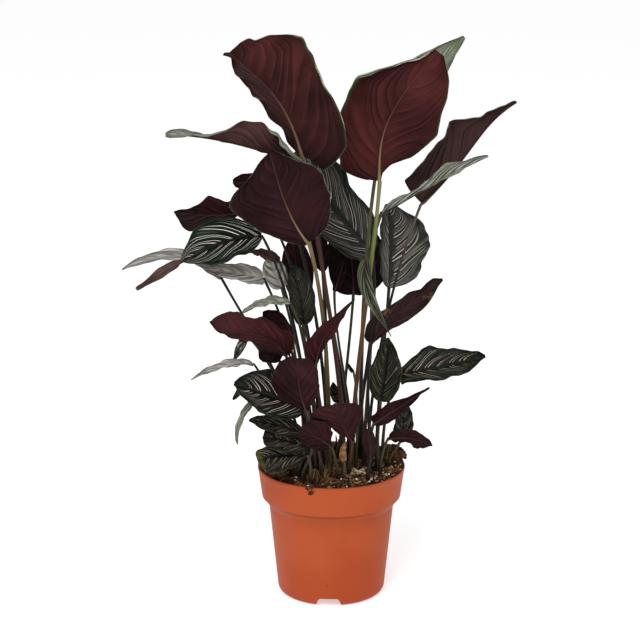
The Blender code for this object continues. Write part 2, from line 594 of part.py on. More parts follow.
def make_blade(leaf, parts):
    """Thin solid of a blade: a grid laid along the midrib, split into triangles, then thickened."""
    wide = max(leaf["right"] + leaf["left"])
    rows, columns = LARGE_GRID if wide > LARGE_BLADE else SMALL_GRID
    if wide < TINY_BLADE:
        rows, columns = TINY_GRID
    grid = bmesh.new()
    bmesh.ops.create_grid(grid, x_segments=rows, y_segments=columns, size=1.0)
    for vert in grid.verts:
        along = 0.5 * (1.0 - math.cos(math.pi * 0.5 * (vert.co.x + 1.0)))
        vert.co = blade_point(leaf, 0.006 + 0.985 * along, vert.co.y)
    bmesh.ops.triangulate(grid, faces=grid.faces, quad_method="SHORT_EDGE")
    mesh = bpy.data.meshes.new("blade")
    grid.to_mesh(mesh)
    grid.free()
    blade = add_object("blade", mesh, parts)
    solid = blade.modifiers.new("Thickness", "SOLIDIFY")
    solid.thickness = BLADE_THICKNESS
    solid.offset = 0.0
    return blade


def petiole_path(leaf):
    """Points in metres from the floor of the petiole's hole up to the base of the midrib."""
    x, y = (value * MM for value in leaf["root"])
    low = np.array((x, y, HOLE_FLOOR + GAP))
    root = np.array((x, y, soil_height(x, y) + 0.002))
    base = through(leaf["rib"], 0.0) * MM
    length = np.linalg.norm(base - root)
    along = unit(through(leaf["rib"], 0.02) - through(leaf["rib"], 0.0))
    start = np.array((0.0, 0.0, 0.9 * length))
    end = unit(0.4 * along + unit(base - root)) * 0.9 * length
    points = [low]
    for u in np.linspace(0.0, 1.0, STEM_POINTS):
        point = (2 * u ** 3 - 3 * u ** 2 + 1) * root + (u ** 3 - 2 * u ** 2 + u) * start
        points.append(point + (3 * u ** 2 - 2 * u ** 3) * base + (u ** 3 - u ** 2) * end)
    return points + [through(leaf["rib"], 0.05) * MM, through(leaf["rib"], 0.12) * MM]


def make_petiole(leaf, parts):
    """Closed tube of a petiole, which narrows to where it fades into the midrib."""
    points = petiole_path(leaf)
    curve = bpy.data.curves.new("petiole", "CURVE")
    curve.dimensions = "3D"
    curve.bevel_depth = STEM_RADIUS
    curve.bevel_resolution = (STEM_SIDES - 4) // 2
    curve.use_fill_caps = True
    spline = curve.splines.new("POLY")
    spline.points.add(len(points) - 1)
    for i, point in enumerate(points):
        spline.points[i].co = (*point, 1.0)
        spline.points[i].radius = 1.0 - (1.0 - STEM_TIP) * max(0.0, (i - 1) / (len(points) - 2))
    bent = bpy.data.objects.new("bent_petiole", curve)
    parts.objects.link(bent)
    bpy.context.view_layer.update()
    mesh = evaluated_mesh(bent)
    shape = bmesh.new()
    shape.from_mesh(mesh)
    bmesh.ops.remove_doubles(shape, verts=shape.verts, dist=0.00001)
    bmesh.ops.triangulate(shape, faces=shape.faces)
    shape.to_mesh(mesh)
    shape.free()
    petiole = add_object("petiole", mesh, parts)
    petiole.matrix_world = bent.matrix_world
    remove(bent)
    return petiole


def make_leaf(name, leaf, parts):
    """One leafy stem: its blade and petiole joined into one solid."""
    blade = make_blade(leaf, parts)
    petiole = make_petiole(leaf, parts)
    join = blade.modifiers.new("Petiole", "BOOLEAN")
    join.operation = "UNION"
    join.object = petiole
    bpy.context.view_layer.update()
    made = add_object("leaf_" + name, evaluated_mesh(blade), parts, leaf_look(name, leaf))
    remove(blade, petiole)
    return made


def leaf_look(name, leaf):
    """Look of the side of a blade that faces the front."""
    if name == "dry_husk":
        return TAN
    if name in PALE_LEAVES:
        return PALE
    return BURGUNDY if leaf["faces"][0][1] > 0.2 else GREEN


def main():
    """Build the pot, the soil and every leafy stem."""
    for item in list(bpy.data.objects):
        bpy.data.objects.remove(item, do_unlink=True)
    parts = bpy.data.collections.new("calathea")
    cutters = bpy.data.collections.new("cutters")
    bpy.context.scene.collection.children.link(parts)
    bpy.context.scene.collection.children.link(cutters)
    make_pot(parts, cutters)
    make_soil(parts, cutters)
    for name, leaf in LEAVES.items():
        make_leaf(name, leaf, parts)


main()
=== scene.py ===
"""Dresses the potted pinstripe calathea: its striped and burgundy leaves, petioles, soil and pot.

The plant stands in the part's own frame: metres, +Z up, the origin at the centre of the pot's base
and the front towards -Y. Leaf sizes are in millimetres, as the plant was measured.
"""

import logging
import math
import random
from dataclasses import dataclass, field, replace
from enum import Enum
from typing import Any, Callable, Sequence, Union

import bmesh
import bpy
import numpy as np
from bmesh.types import BMesh
from bpy.types import ID, Material, Mesh, Node, NodeSocket, NodeTree, Object
from mathutils import Euler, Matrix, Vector, noise


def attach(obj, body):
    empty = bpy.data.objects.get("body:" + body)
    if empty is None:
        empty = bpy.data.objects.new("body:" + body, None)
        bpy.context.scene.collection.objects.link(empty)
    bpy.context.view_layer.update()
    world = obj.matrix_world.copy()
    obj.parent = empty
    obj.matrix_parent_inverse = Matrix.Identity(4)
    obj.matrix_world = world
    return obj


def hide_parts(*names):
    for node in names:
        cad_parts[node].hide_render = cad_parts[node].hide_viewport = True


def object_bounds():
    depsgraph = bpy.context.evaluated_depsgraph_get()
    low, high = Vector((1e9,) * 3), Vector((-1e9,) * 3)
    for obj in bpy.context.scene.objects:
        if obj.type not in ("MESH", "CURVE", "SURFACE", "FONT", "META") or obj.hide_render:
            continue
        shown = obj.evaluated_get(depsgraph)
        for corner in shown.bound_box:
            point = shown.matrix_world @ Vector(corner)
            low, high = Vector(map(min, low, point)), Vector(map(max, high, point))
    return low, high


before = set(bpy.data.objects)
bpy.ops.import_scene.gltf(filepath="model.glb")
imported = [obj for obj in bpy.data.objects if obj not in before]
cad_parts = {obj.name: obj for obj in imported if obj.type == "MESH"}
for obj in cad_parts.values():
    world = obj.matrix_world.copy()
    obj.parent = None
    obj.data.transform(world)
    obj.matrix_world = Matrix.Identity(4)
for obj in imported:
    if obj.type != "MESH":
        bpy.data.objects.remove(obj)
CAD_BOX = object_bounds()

LOG = logging.getLogger("calathea")
MM = 0.001
TURN = 2.0 * math.pi
Colour = tuple[float, ...]
Vec = tuple[float, float, float]
Pair = tuple[float, float]

# Places along the midrib where widths were measured, for a row of 7 and for one of 13
STATIONS = {7: (0.04, 0.14, 0.3, 0.48, 0.66, 0.82, 0.93),
            13: (0.02, 0.07, 0.14, 0.22, 0.31, 0.40, 0.50, 0.60, 0.69, 0.78, 0.86, 0.93, 0.975)}

RIM_RADIUS = 0.0955
RIM_Z = 0.1704
BAND_RADIUS = 0.0900
BAND_Z = 0.1300
NECK_RADIUS = 0.0812
NECK_Z = 0.1196
FOOT_RADIUS = 0.0700
FOOT_ROUND = 0.0090
FLOOR_Z = 0.0130
RECESS_Z = 0.0100
WALL = 0.0020

SOIL_Z = 0.1690
SOIL_ROUGH = 0.0013
MOUND = 0.0150
MOUND_AT = (0.078, 0.022)
MOUND_SPREAD = 0.022


def linear(levels: Colour) -> Colour:
    """Turn a screen's red, green and blue levels, 0 to 255, into linear light, 0 to 1, and an alpha."""
    return (*(((c / 255.0 + 0.055) / 1.055) ** 2.4 if c > 10.3 else c / 3294.6 for c in levels), 1.0)


def inner_radius(z: Any) -> Any:
    """Inner radius of the pot's wall at a height.

    Args:
        z: Height above the pot's base, a number or an array.

    Returns:
        The radius there.
    """
    heights = (FLOOR_Z, NECK_Z, BAND_Z, RIM_Z)
    radii = (FOOT_RADIUS - WALL, NECK_RADIUS - WALL, BAND_RADIUS - WALL, RIM_RADIUS - WALL)
    return np.interp(z, heights, radii)


def soil_height(x: Any, y: Any) -> Any:
    """Height of the soil's top, with its mound against the back right of the rim.

    Args:
        x: Place along X, a number or an array.
        y: Place along Y, a number or an array.

    Returns:
        The height above the pot's base, without the lumps that Soil adds.
    """
    rise = np.exp(-((x - MOUND_AT[0]) ** 2 + (y - MOUND_AT[1]) ** 2) / (2.0 * MOUND_SPREAD ** 2))
    rough = np.sin(118.0 * x + 0.7) * np.sin(97.0 * y + 1.9) + 0.6 * np.sin(190.0 * x - 150.0 * y)
    return SOIL_Z + MOUND * rise + SOIL_ROUGH * rough


# Meshes and objects


def placed(name: str, data: ID) -> Object:
    """Add a mesh, lamp or camera to the scene as an object of this name.

    Args:
        name: The object's name.
        data: Its mesh, light or camera.

    Returns:
        The object.
    """
    piece = bpy.data.objects.new(name, data)
    bpy.context.scene.collection.objects.link(piece)
    return piece


def shaped(name: str, shape: BMesh) -> Object:
    """Turn a bmesh into an object of this name in the scene.

    Args:
        name: Name of the object and of its mesh.
        shape: The bmesh, which is freed.

    Returns:
        The object.
    """
    mesh = bpy.data.meshes.new(name)
    shape.to_mesh(mesh)
    shape.free()
    return placed(name, mesh)


def path_piece(name: str, points: Sequence, edges: list[tuple[int, int]], girths: Sequence[float],
               places: Sequence[float]) -> Object:
    """Make a path for the stalk tree to sweep.

    Args:
        name: The object's name.
        points: Its points, in metres.
        edges: The pairs of points that it joins.
        girths: Radius of the stalk at each point, in metres.
        places: The number that the stalk's finish reads at each point.

    Returns:
        The path, in the scene.
    """
    mesh = bpy.data.meshes.new(name)
    mesh.from_pydata(points, edges, [])
    for title, values in (("girth", girths), ("place", places)):
        mesh.attributes.new(title, "FLOAT", "POINT").data.foreach_set("value", values)
    return placed(name, mesh)


def bridge(shape: BMesh, one: Sequence, two: Sequence, closed: bool = True) -> None:
    """Join two rows of vertices with faces, all round where they are closed.

    Args:
        shape: The bmesh that holds both rows.
        one: The first row.
        two: The second row, as long as the first.
        closed: Whether the rows are rings.
    """
    count = len(one)
    for k in range(count if closed else count - 1):
        after = (k + 1) % count
        shape.faces.new((one[k], two[k], two[after], one[after]))


def remove(piece: Object) -> None:
    """Delete an object that was only needed to make another."""
    bpy.data.objects.remove(piece, do_unlink=True)


def baked(piece: Object) -> Object:
    """Turn a piece's modifiers into plain mesh and remove them.

    Args:
        piece: An object with modifiers.

    Returns:
        The same object.
    """
    graph = bpy.context.evaluated_depsgraph_get()
    mesh = bpy.data.meshes.new_from_object(piece.evaluated_get(graph))
    piece.modifiers.clear()
    old, piece.data = piece.data, mesh
    bpy.data.meshes.remove(old)
    return piece


def ride(piece: Object) -> None:
    """Let a piece ride on the root.

    Args:
        piece: A finished piece.
    """
    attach(piece, "root")


# Node trees


def operator(operation: str, reflected: bool = False) -> Callable[..., "Value"]:
    """A method of Value that adds one Math node; a reflected one puts its own value last.

    Args:
        operation: The Math node's operation.
        reflected: Whether the method's own value is the last one.

    Returns:
        The method.
    """

    def method(value: "Value", *others: "Number") -> "Value":
        """Add the node."""
        return value.graph.math(operation, *((*others, value) if reflected else (value, *others)))

    return method


class Value:
    """A number in a shader graph, on which Python's operators add Math nodes."""

    __add__, __radd__ = operator("ADD"), operator("ADD", True)
    __sub__, __rsub__ = operator("SUBTRACT"), operator("SUBTRACT", True)
    __mul__, __rmul__ = operator("MULTIPLY"), operator("MULTIPLY", True)
    __pow__, __abs__ = operator("POWER"), operator("ABSOLUTE")
    sin, fraction, floor = operator("SINE"), operator("FRACT"), operator("FLOOR")

    def __init__(self, graph: "Graph", socket: NodeSocket) -> None:
        """Wrap an output socket of the graph."""
        self.graph = graph
        self.socket = socket

    def clamp(self) -> "Value":
        """Kept between 0 and 1."""
        return self.graph.value("ShaderNodeClamp", {"Value": self})

    def rise(self, low: float, high: float) -> "Value":
        """Smooth step from 0 at low to 1 at high; high may be the lower number.

        Args:
            low: Where the step starts.
            high: Where it ends.

        Returns:
            The step, 0 to 1.
        """
        inputs = {"Value": self, "From Min": min(low, high), "From Max": max(low, high)}
        step = self.graph.value("ShaderNodeMapRange", inputs, interpolation_type="SMOOTHSTEP")
        return step if low < high else 1.0 - step


Number = Union[Value, float, int]
Feed = Union[Value, NodeSocket, Node, float, int, str, Sequence[float]]
Feeds = dict[Union[str, int], Feed]


class Nodes:
    """A node tree to which nodes are added in one way."""

    def __init__(self, tree: NodeTree) -> None:
        """Work on this tree."""
        self.tree = tree

    def node(self, kind: str, inputs: Feeds | None = None, **settings: Any) -> Node:
        """Add a node.

        Args:
            kind: Node type.
            inputs: Socket values or links, by name or number.
            **settings: Properties, which are set before the inputs.

        Returns:
            The new node.
        """
        made = self.tree.nodes.new(kind)
        for key, value in settings.items():
            setattr(made, key, value)
        for key, value in (inputs or {}).items():
            self.feed(made.inputs[key], value)
        return made

    def feed(self, socket: NodeSocket, value: Feed) -> None:
        """Link a socket to a value, a socket or a node's first output, or set it.

        Args:
            socket: An input of a node.
            value: What it takes; three numbers for a colour are screen levels, four are linear.
        """
        if isinstance(value, Value):
            value = value.socket
        elif isinstance(value, Node):
            value = value.outputs[0]
        if isinstance(value, NodeSocket):
            self.tree.links.new(value, socket)
        elif isinstance(value, tuple) and len(socket.default_value) > len(value):
            socket.default_value = linear(value)
        else:
            socket.default_value = value


class Graph(Nodes):
    """Nodes of one Principled material."""

    def __init__(self, name: str) -> None:
        """Start a material of this name.

        Args:
            name: The material's name.
        """
        self.material = bpy.data.materials.new(name)
        self.material.use_nodes = True
        super().__init__(self.material.node_tree)
        self.shader = self.tree.nodes["Principled BSDF"]

    def value(self, kind: str, inputs: Feeds, output: Union[str, int] = 0, **settings: Any) -> Value:
        """Add a node and wrap one of its outputs."""
        return Value(self, self.node(kind, inputs, **settings).outputs[output])

    def math(self, operation: str, *values: Number) -> Value:
        """Add a Math node on numbers and values."""
        return self.value("ShaderNodeMath", dict(enumerate(values)), operation=operation)

    def split(self, vector: Feed) -> list[Value]:
        """The three numbers of a vector."""
        return [Value(self, socket) for socket in self.node("ShaderNodeSeparateXYZ", {0: vector}).outputs]

    def uv(self, name: str) -> list[Value]:
        """Both coordinates of a UV map of the piece."""
        return self.split(self.node("ShaderNodeUVMap", uv_map=name))[:2]

    def place(self) -> NodeSocket:
        """The Object coordinates."""
        return self.node("ShaderNodeTexCoord").outputs["Object"]

    def join(self, *numbers: Number) -> Node:
        """A vector of two or three numbers."""
        return self.node("ShaderNodeCombineXYZ", dict(enumerate(numbers)))

    def noise(self, vector: Feed, scale: float, detail: float) -> Value:
        """Noise around 0.5 at a place."""
        return self.value("ShaderNodeTexNoise", {"Vector": vector, "Scale": scale, "Detail": detail})

    def chance(self, number: Value) -> Value:
        """A random number, 0 to 1, for each whole number."""
        return self.value("ShaderNodeTexWhiteNoise", {"W": number}, noise_dimensions="1D")

    def mix(self, share: Number, first: Feed, second: Feed, blend: str = "MIX") -> NodeSocket:
        """Blend two colours.

        Args:
            share: 0 for the first colour, 1 for the second.
            first: A colour or a link.
            second: A colour or a link.
            blend: How the second is laid on the first.

        Returns:
            The blended colour's socket.
        """
        inputs = {0: share, 6: first, 7: second}
        return self.node("ShaderNodeMix", inputs, data_type="RGBA", blend_type=blend).outputs[2]

    def bump(self, height: Value, distance: float) -> Node:
        """Normal of a surface raised by a height, 0 to 1, times a distance in metres."""
        return self.node("ShaderNodeBump", {"Height": height, "Distance": distance, "Strength": 1.0})

    def finish(self, colour: Feed, roughness: Feed, normal: Feed | None = None,
               **constants: float) -> Material:
        """Set the shader's sockets.

        Args:
            colour: Base colour.
            roughness: Roughness.
            normal: Normal, where the surface has relief.
            **constants: Other sockets by name, with underscores for spaces, as plain numbers.

        Returns:
            The material.
        """
        for title, value in (("Base Color", colour), ("Roughness", roughness), ("Normal", normal)):
            if value is not None:
                self.feed(self.shader.inputs[title], value)
        for key, value in constants.items():
            self.shader.inputs[key.replace("_", " ")].default_value = value
        return self.material


class Tree(Nodes):
    """A geometry node tree with named inputs."""

    def __init__(self, name: str, inputs: dict[str, tuple[str, Any]]) -> None:
        """Start a tree.

        Args:
            name: The tree's name.
            inputs: Socket type and default of each input by name; a None default is left alone.
        """
        super().__init__(bpy.data.node_groups.new(name, "GeometryNodeTree"))
        face = self.tree.interface
        for way in ("INPUT", "OUTPUT"):
            face.new_socket("Geometry", in_out=way, socket_type="NodeSocketGeometry")
        self.keys: dict[str, str] = {}
        for title, (kind, default) in inputs.items():
            socket = face.new_socket(title, in_out="INPUT", socket_type="NodeSocket" + kind)
            if default is not None:
                socket.default_value = default
            self.keys[title] = socket.identifier
        self.start = self.tree.nodes.new("NodeGroupInput").outputs
        self.end = self.tree.nodes.new("NodeGroupOutput").inputs

    def finish(self, geometry: Node) -> None:
        """End the tree in real geometry with its material.

        Args:
            geometry: The node whose geometry the tree gives.
        """
        real = self.node("GeometryNodeRealizeInstances", {"Geometry": geometry})
        coat = self.node("GeometryNodeSetMaterial", {"Geometry": real, "Material": self.start["Material"]})
        self.feed(self.end["Geometry"], coat)

    def apply(self, piece: Object, **values: Any) -> Object:
        """Run the tree on a piece with these inputs, and leave the result as plain mesh.

        Args:
            piece: A mesh object.
            **values: The tree's inputs, by name.

        Returns:
            The same object.
        """
        modifier = piece.modifiers.new(self.tree.name, "NODES")
        modifier.node_group = self.tree
        for title, value in values.items():
            modifier[self.keys[title]] = value
        return baked(piece)


def stalk_tree() -> Tree:
    """Tree that sweeps a round section along a path, as thick as the path's own girth says.

    Returns:
        The tree.
    """
    tree = Tree("swept_stalk", {"Sides": ("Int", 8), "Material": ("Material", None)})

    def named(title: str, kind: str = "FLOAT") -> Node:
        """Read a named attribute."""
        return tree.node("GeometryNodeInputNamedAttribute", {"Name": title}, data_type=kind)

    def store(geometry: Any, title: str, value: Any, kind: str, domain: str) -> Node:
        """Store a named attribute."""
        inputs = {"Geometry": geometry, "Name": title, "Value": value}
        return tree.node("GeometryNodeStoreNamedAttribute", inputs, data_type=kind, domain=domain)

    path = tree.node("GeometryNodeMeshToCurve", {"Mesh": tree.start["Geometry"]})
    ring = tree.node("GeometryNodeCurvePrimitiveCircle",
                     {"Resolution": tree.start["Sides"], "Radius": 1.0}, mode="RADIUS")
    turned = store(ring, "round", tree.node("GeometryNodeInputPosition"), "FLOAT_VECTOR", "POINT")
    made = tree.node("GeometryNodeCurveToMesh", {
        "Curve": path, "Profile Curve": turned, "Scale": named("girth"), "Fill Caps": True})
    blade = tree.node("ShaderNodeCombineXYZ", {0: named("place")})
    for title, value in (("Blade", blade), ("Veins", named("round", "FLOAT_VECTOR"))):
        made = store(made, title, value, "FLOAT2", "CORNER")
    tree.finish(made)
    return tree


# Finishes: colours of three numbers are screen levels, those of four are linear

WHITE = (1.0, 1.0, 1.0, 1.0)


@dataclass
class Venation:
    """Side veins of a blade in a shader graph, worked out from its two UV maps."""

    along: Value
    across: Value
    out: Value
    phase: Value

    @classmethod
    def read(cls, graph: Graph) -> "Venation":
        """Work out the running number of the side veins, which leave the midrib and sweep forward.

        Args:
            graph: Graph of a blade's material.

        Returns:
            Places along and across the blade, distance from the midrib, and the running number.
        """
        along, across = graph.uv("Blade")
        count, seed = graph.uv("Veins")
        out = abs(across - 0.5) * 2.0
        bend = out * (0.33 + 0.31 * out)
        start = along - bend * cls.sweep(along - bend * cls.sweep(along - bend * 0.6))
        wander = graph.noise(graph.join(start * 7.0, out * 0.9, seed), 1.0, 1.0)
        return cls(along, across, out, start * count + (wander - 0.5) * 0.9 + seed)

    @staticmethod
    def sweep(start: Value) -> Value:
        """How far a vein that starts here sweeps forward: less at the base and at the tip."""
        return (start * 2.4 + 0.30).clamp() * (1.06 - start).clamp() ** 0.7 * 1.1


@dataclass(frozen=True)
class StripedTop:
    """Upper side of a blade: dark green, with pairs of thin pink lines along its side veins.

    Deep and band colour the green: band is the lighter streaks between the pairs, partly the leaf's own
    paler green and partly painted sheen; near and far colour the lines by their distance from the midrib;
    edge is the margin, rolled its rolled-back strip, and tinge a cloud over the green. Weight is the
    lines' breadth, stripes their strength, extra that of the single lines between the pairs, and crease
    shade that of the painted shade in the creases along them.
    """

    name: str
    deep: Colour = (10, 15, 9)
    band: Colour = (36, 42, 29)
    edge: Colour = (46, 58, 32)
    near: Colour = (214, 184, 172)
    far: Colour = (176, 170, 152)
    rolled: Colour = (178, 188, 166)
    extra: float = 0.5
    stripes: float = 1.0
    weight: float = 1.0
    crease_shade: float = 0.0
    tinge: Colour = (112, 126, 84)
    tinged: float = 0.0
    limed: float = 0.0
    gloss: float = 0.36
    shine: float = 0.16

    def make(self) -> Material:
        """Build the material from the blade's two UV maps.

        Returns:
            The material.
        """
        graph = Graph(self.name)
        veins = Venation.read(graph)
        along, out, phase = veins.along, veins.out, veins.phase
        patch = graph.noise(graph.place(), 24.0, 3.0)
        cell = phase.fraction()
        chance, other, third = (graph.chance(phase.floor() + shift) for shift in (0.0, 0.37, 0.71))
        # A pair of lines in each cell, and a single one between some cells
        gap = abs(cell - 0.5)
        spread = (0.12 + 0.07 * chance) * (out + 0.25).rise(0.0, 0.5) * out.rise(1.15, 0.6)
        line = abs(gap - spread).rise(0.036 * self.weight, 0.008 * self.weight)
        start = (out - (0.03 + 0.12 * chance)).rise(0.0, 0.06)
        end = (0.86 + 0.14 * other - out).rise(0.0, 0.22)
        single = abs(cell - 0.97).rise(0.036, 0.012) * third.rise(0.45, 0.5)
        single = single * (out - 0.34 - 0.2 * other).rise(0.0, 0.1) * out.rise(0.9, 0.7)
        tip = along.rise(0.985, 0.90) * (1.0 - along.rise(0.60, 0.95) * third.rise(0.35, 0.45))
        fade = graph.noise(graph.join(phase * 0.5, out * 1.7), 1.0, 1.0)
        streaks = (line * start * end + self.extra * single).clamp() * tip * out.rise(1.0, 0.97)
        streaks = streaks * (0.62 + 0.9 * fade).clamp() * self.stripes
        # The green between them, lighter in streaks between the pairs, partly as painted sheen; its margin
        # and its rolled-back strip
        between = gap.rise(0.16, 0.42) * out.rise(0.02, 0.25) * patch.rise(0.3, 0.66)
        green = graph.mix(between, self.deep, self.band)
        green = graph.mix((out + 0.06 * patch).rise(0.955, 1.01) * 0.6, green, self.edge)
        green = graph.mix((along + 0.2 * patch).rise(0.92, 1.02) * self.limed, green, self.edge)
        streak = graph.noise(graph.join(along * 9.0, out * 60.0), 1.0, 2.0)
        lip = graph.mix(streak.rise(0.42, 0.60), self.edge, self.rolled)
        green = graph.mix(out.rise(1.004, 1.02), green, lip)
        moss = graph.noise(graph.join(along * 2.2, veins.across * 1.4, phase * 0.05), 1.0, 1.0)
        green = graph.mix(moss.rise(0.46, 0.60) * self.tinged, green, self.tinge)
        # Painted shade in the creases along the pairs of lines, in the lines' colour
        crease = abs(cell - 0.5 - 0.2 * (chance - 0.5)).rise(0.26, 0.06) * (0.35 + 0.65 * other)
        green = graph.mix(crease * self.crease_shade * out.rise(0.0, 0.12), green, self.near)
        pink = graph.mix(out.rise(0.1, 0.7), self.near, self.far)
        relief = 0.5 + 0.5 * (cell * TURN).sin() * out.rise(0.02, 0.3) + 0.12 * patch
        return graph.finish(graph.mix(streaks, green, pink), self.gloss + 0.16 * patch,
                            graph.bump(relief, 0.0016), Specular_IOR_Level=self.shine)


@dataclass(frozen=True)
class BurgundyUnder:
    """Under side of a blade: burgundy, with a green edge, softly pleated between its side veins, each
    pleat painted lighter on its ridge and in shade towards the next vein.

    How far along the blade its base is darkened with painted shade is set by the field after scorch;
    rimmed is the strength of the edge and scorch that of the tan scars.
    """

    name: str
    deep: Colour = (38, 13, 14)
    light: Colour = (86, 38, 37)
    vein: Colour = (104, 54, 44)
    edge: Colour = (52, 68, 40)
    tan: Colour = (124, 96, 74)
    scorch: float = 0.0
    base_shade: float = 0.30
    rimmed: float = 0.25
    gloss: float = 0.55

    def make(self) -> Material:
        """Build the material from the blade's two UV maps.

        Returns:
            The material.
        """
        graph = Graph(self.name)
        veins = Venation.read(graph)
        out, phase = veins.out, veins.phase
        cloud = graph.noise(graph.place(), 15.0, 3.0)
        grain = graph.noise(graph.place(), 320.0, 2.0)
        crease = graph.noise(graph.join(phase * 2.1, out * 1.1, 3.0), 1.0, 2.0)
        cell = phase.fraction()
        # Each pleat gets a painted highlight on its ridge that fades to painted shade towards the next
        # vein, as if lit from one side; the same pleat also raises the bump
        force = graph.noise(graph.join(phase * 0.40, out * 0.8), 1.0, 1.0).rise(0.30, 0.66) * 0.75 + 0.25
        fold = cell.rise(0.0, 0.30) * cell.rise(1.0, 0.38) * force
        fold = fold * out.rise(0.0, 0.16) * out.rise(1.08, 0.62)
        vein = abs(cell - 0.33).rise(0.07, 0.0) * out.rise(0.95, 0.3)
        share = cloud.rise(0.32, 0.70) * 0.56 + fold * 0.32 + crease.rise(0.35, 0.7) * 0.12
        # Painted shade: the blade is darker towards its base, up to the set share of its length
        share = share * veins.along.rise(-0.8 * self.base_shade, self.base_shade)
        base = graph.mix(share, self.deep, self.light)
        base = graph.mix(vein * 0.24 * force, base, self.vein)
        scar = graph.noise(graph.place(), 34.0, 4.0).rise(0.60, 0.68) * self.scorch
        base = graph.mix(scar * 0.85, base, self.tan)
        margin = (out + 0.05 * cloud).rise(0.985, 1.01)
        relief = fold * 1.0 + crease * 0.16 + vein * 0.06 + grain * 0.03
        return graph.finish(graph.mix(margin * self.rimmed, base, self.edge), self.gloss + 0.12 * grain,
                            graph.bump(relief, 0.0024), Specular_IOR_Level=0.07)


@dataclass(frozen=True)
class StalkFinish:
    """Petiole and midrib: low is the colour at the soil, high under the blade, rib along it."""

    name: str
    low: Colour
    high: Colour
    rib: Colour
    tip: Colour = (60, 28, 27)
    turn: Pair = (0.04, 0.50)
    bloom: float = 0.0
    fresh: Colour = (104, 124, 44)
    streak: Colour = (0.45, 0.42, 0.40, 1.0)

    def make(self) -> Material:
        """Build the material; "Blade" runs 0 to 1 up the petiole and on to 2, "Veins" goes round it.

        Returns:
            The material.
        """
        graph = Graph(self.name)
        along = graph.uv("Blade")[0]
        right, back = graph.uv("Veins")
        mottle = graph.noise(graph.place(), 90.0, 3.0)
        fibre = graph.noise(graph.join(along * 3.0, right * 3.4, back * 3.4), 1.0, 2.0)
        colour = graph.mix((along + 0.35 * (mottle - 0.5)).rise(*self.turn), self.low, self.high)
        fresh = along.rise(0.64, 0.74) * along.rise(0.90, 0.82) * self.bloom
        colour = graph.mix(fresh, colour, self.fresh)
        colour = graph.mix(along.rise(0.97, 1.12), colour, self.rib)
        colour = graph.mix(along.rise(1.15, 1.62), colour, self.tip)
        streak = graph.mix(fibre.rise(0.3, 0.7), self.streak, WHITE)
        return graph.finish(graph.mix(0.55, colour, streak, "MULTIPLY"), 0.42 + 0.2 * mottle,
                            graph.bump(fibre, 0.0003), Specular_IOR_Level=0.18)


@dataclass(frozen=True)
class DryFinish:
    """Withered husk or sheath: streaked along its length and blotched."""

    name: str
    pale: Colour
    dark: Colour

    def make(self) -> Material:
        """Build the material.

        Returns:
            The material.
        """
        graph = Graph(self.name)
        along, across = graph.uv("Blade")
        fibre = graph.noise(graph.join(along * 2.0, across * 30.0), 1.0, 3.0)
        blotch = graph.noise(graph.place(), 240.0, 3.0)
        share = fibre.rise(0.3, 0.7) * 0.5 + blotch.rise(0.4, 0.62) * 0.5
        return graph.finish(graph.mix(share, self.pale, self.dark), 0.8, graph.bump(fibre, 0.0006),
                            Specular_IOR_Level=0.2)


@dataclass(frozen=True)
class PotFinish:
    """Terracotta-coloured moulded plastic, faintly scuffed, with soil dust under its lip and painted shade
    in the corner under its band and just below it.
    """

    name: str = "pot_plastic_moulded"
    body: Colour = (174, 79, 43)
    warm: Colour = (165, 70, 36)
    # Colour of the painted shade under the band, and of the round mark that the moulding left
    crease: Colour = (112, 44, 22)
    gate: Vec = (-0.0060, -0.0719, 0.0300)
    dust: Colour = (92, 54, 36)

    def make(self) -> Material:
        """Build the material; gate is the place of the round mark that the moulding left.

        Returns:
            The material.
        """
        graph = Graph(self.name)
        place = graph.place()
        height = graph.split(place)[2]
        cloud = graph.noise(place, 9.0, 3.0)
        speck = graph.noise(place, 520.0, 2.0)
        spot = graph.noise(place, 150.0, 3.0)
        colour = graph.mix(cloud.rise(0.35, 0.65), self.body, self.warm)
        colour = graph.mix(height.rise(0.08, 0.0) * 0.35, colour, self.warm)
        colour = graph.mix(spot.rise(0.68, 0.8) * 0.25, colour, self.dust)
        # Painted shade: a dark line in the corner under the band and a soft shadow that the band casts
        # below it
        corner = abs(height - (BAND_Z - 0.0020)).rise(0.0032, 0.0006) * 0.45
        under = height.rise(0.098, 0.122) * height.rise(BAND_Z, BAND_Z - 0.004) * 0.20
        colour = graph.mix((corner + under).clamp(), colour, self.crease)
        gate = graph.value("ShaderNodeVectorMath", {0: place, 1: self.gate}, "Value", operation="DISTANCE")
        colour = graph.mix(gate.rise(0.0019, 0.0008) * 0.6, colour, self.crease)
        lip = (height + 0.004 * spot).rise(RIM_Z - 0.0015, RIM_Z + 0.003) * 0.4
        return graph.finish(graph.mix(lip, colour, self.dust), 0.42 + 0.16 * cloud,
                            graph.bump(speck * 0.5 + spot, 0.00012), Specular_IOR_Level=0.10)


@dataclass(frozen=True)
class EarthFinish:
    """Potting soil or one kind of its crumbs: two colours, mottled finely."""

    name: str
    dark: Colour
    light: Colour
    scale: float = 220.0
    relief: float = 0.0012
    roughness: float = 0.95

    def make(self) -> Material:
        """Build the material.

        Returns:
            The material.
        """
        graph = Graph(self.name)
        coarse = graph.noise(graph.place(), self.scale * 0.3, 3.0)
        fine = graph.noise(graph.place(), self.scale * 2.0, 4.0)
        colour = graph.mix((coarse * 0.62 + fine * 0.38).rise(0.42, 0.62), self.dark, self.light)
        return graph.finish(colour, self.roughness, graph.bump(fine, self.relief), Specular_IOR_Level=0.2)


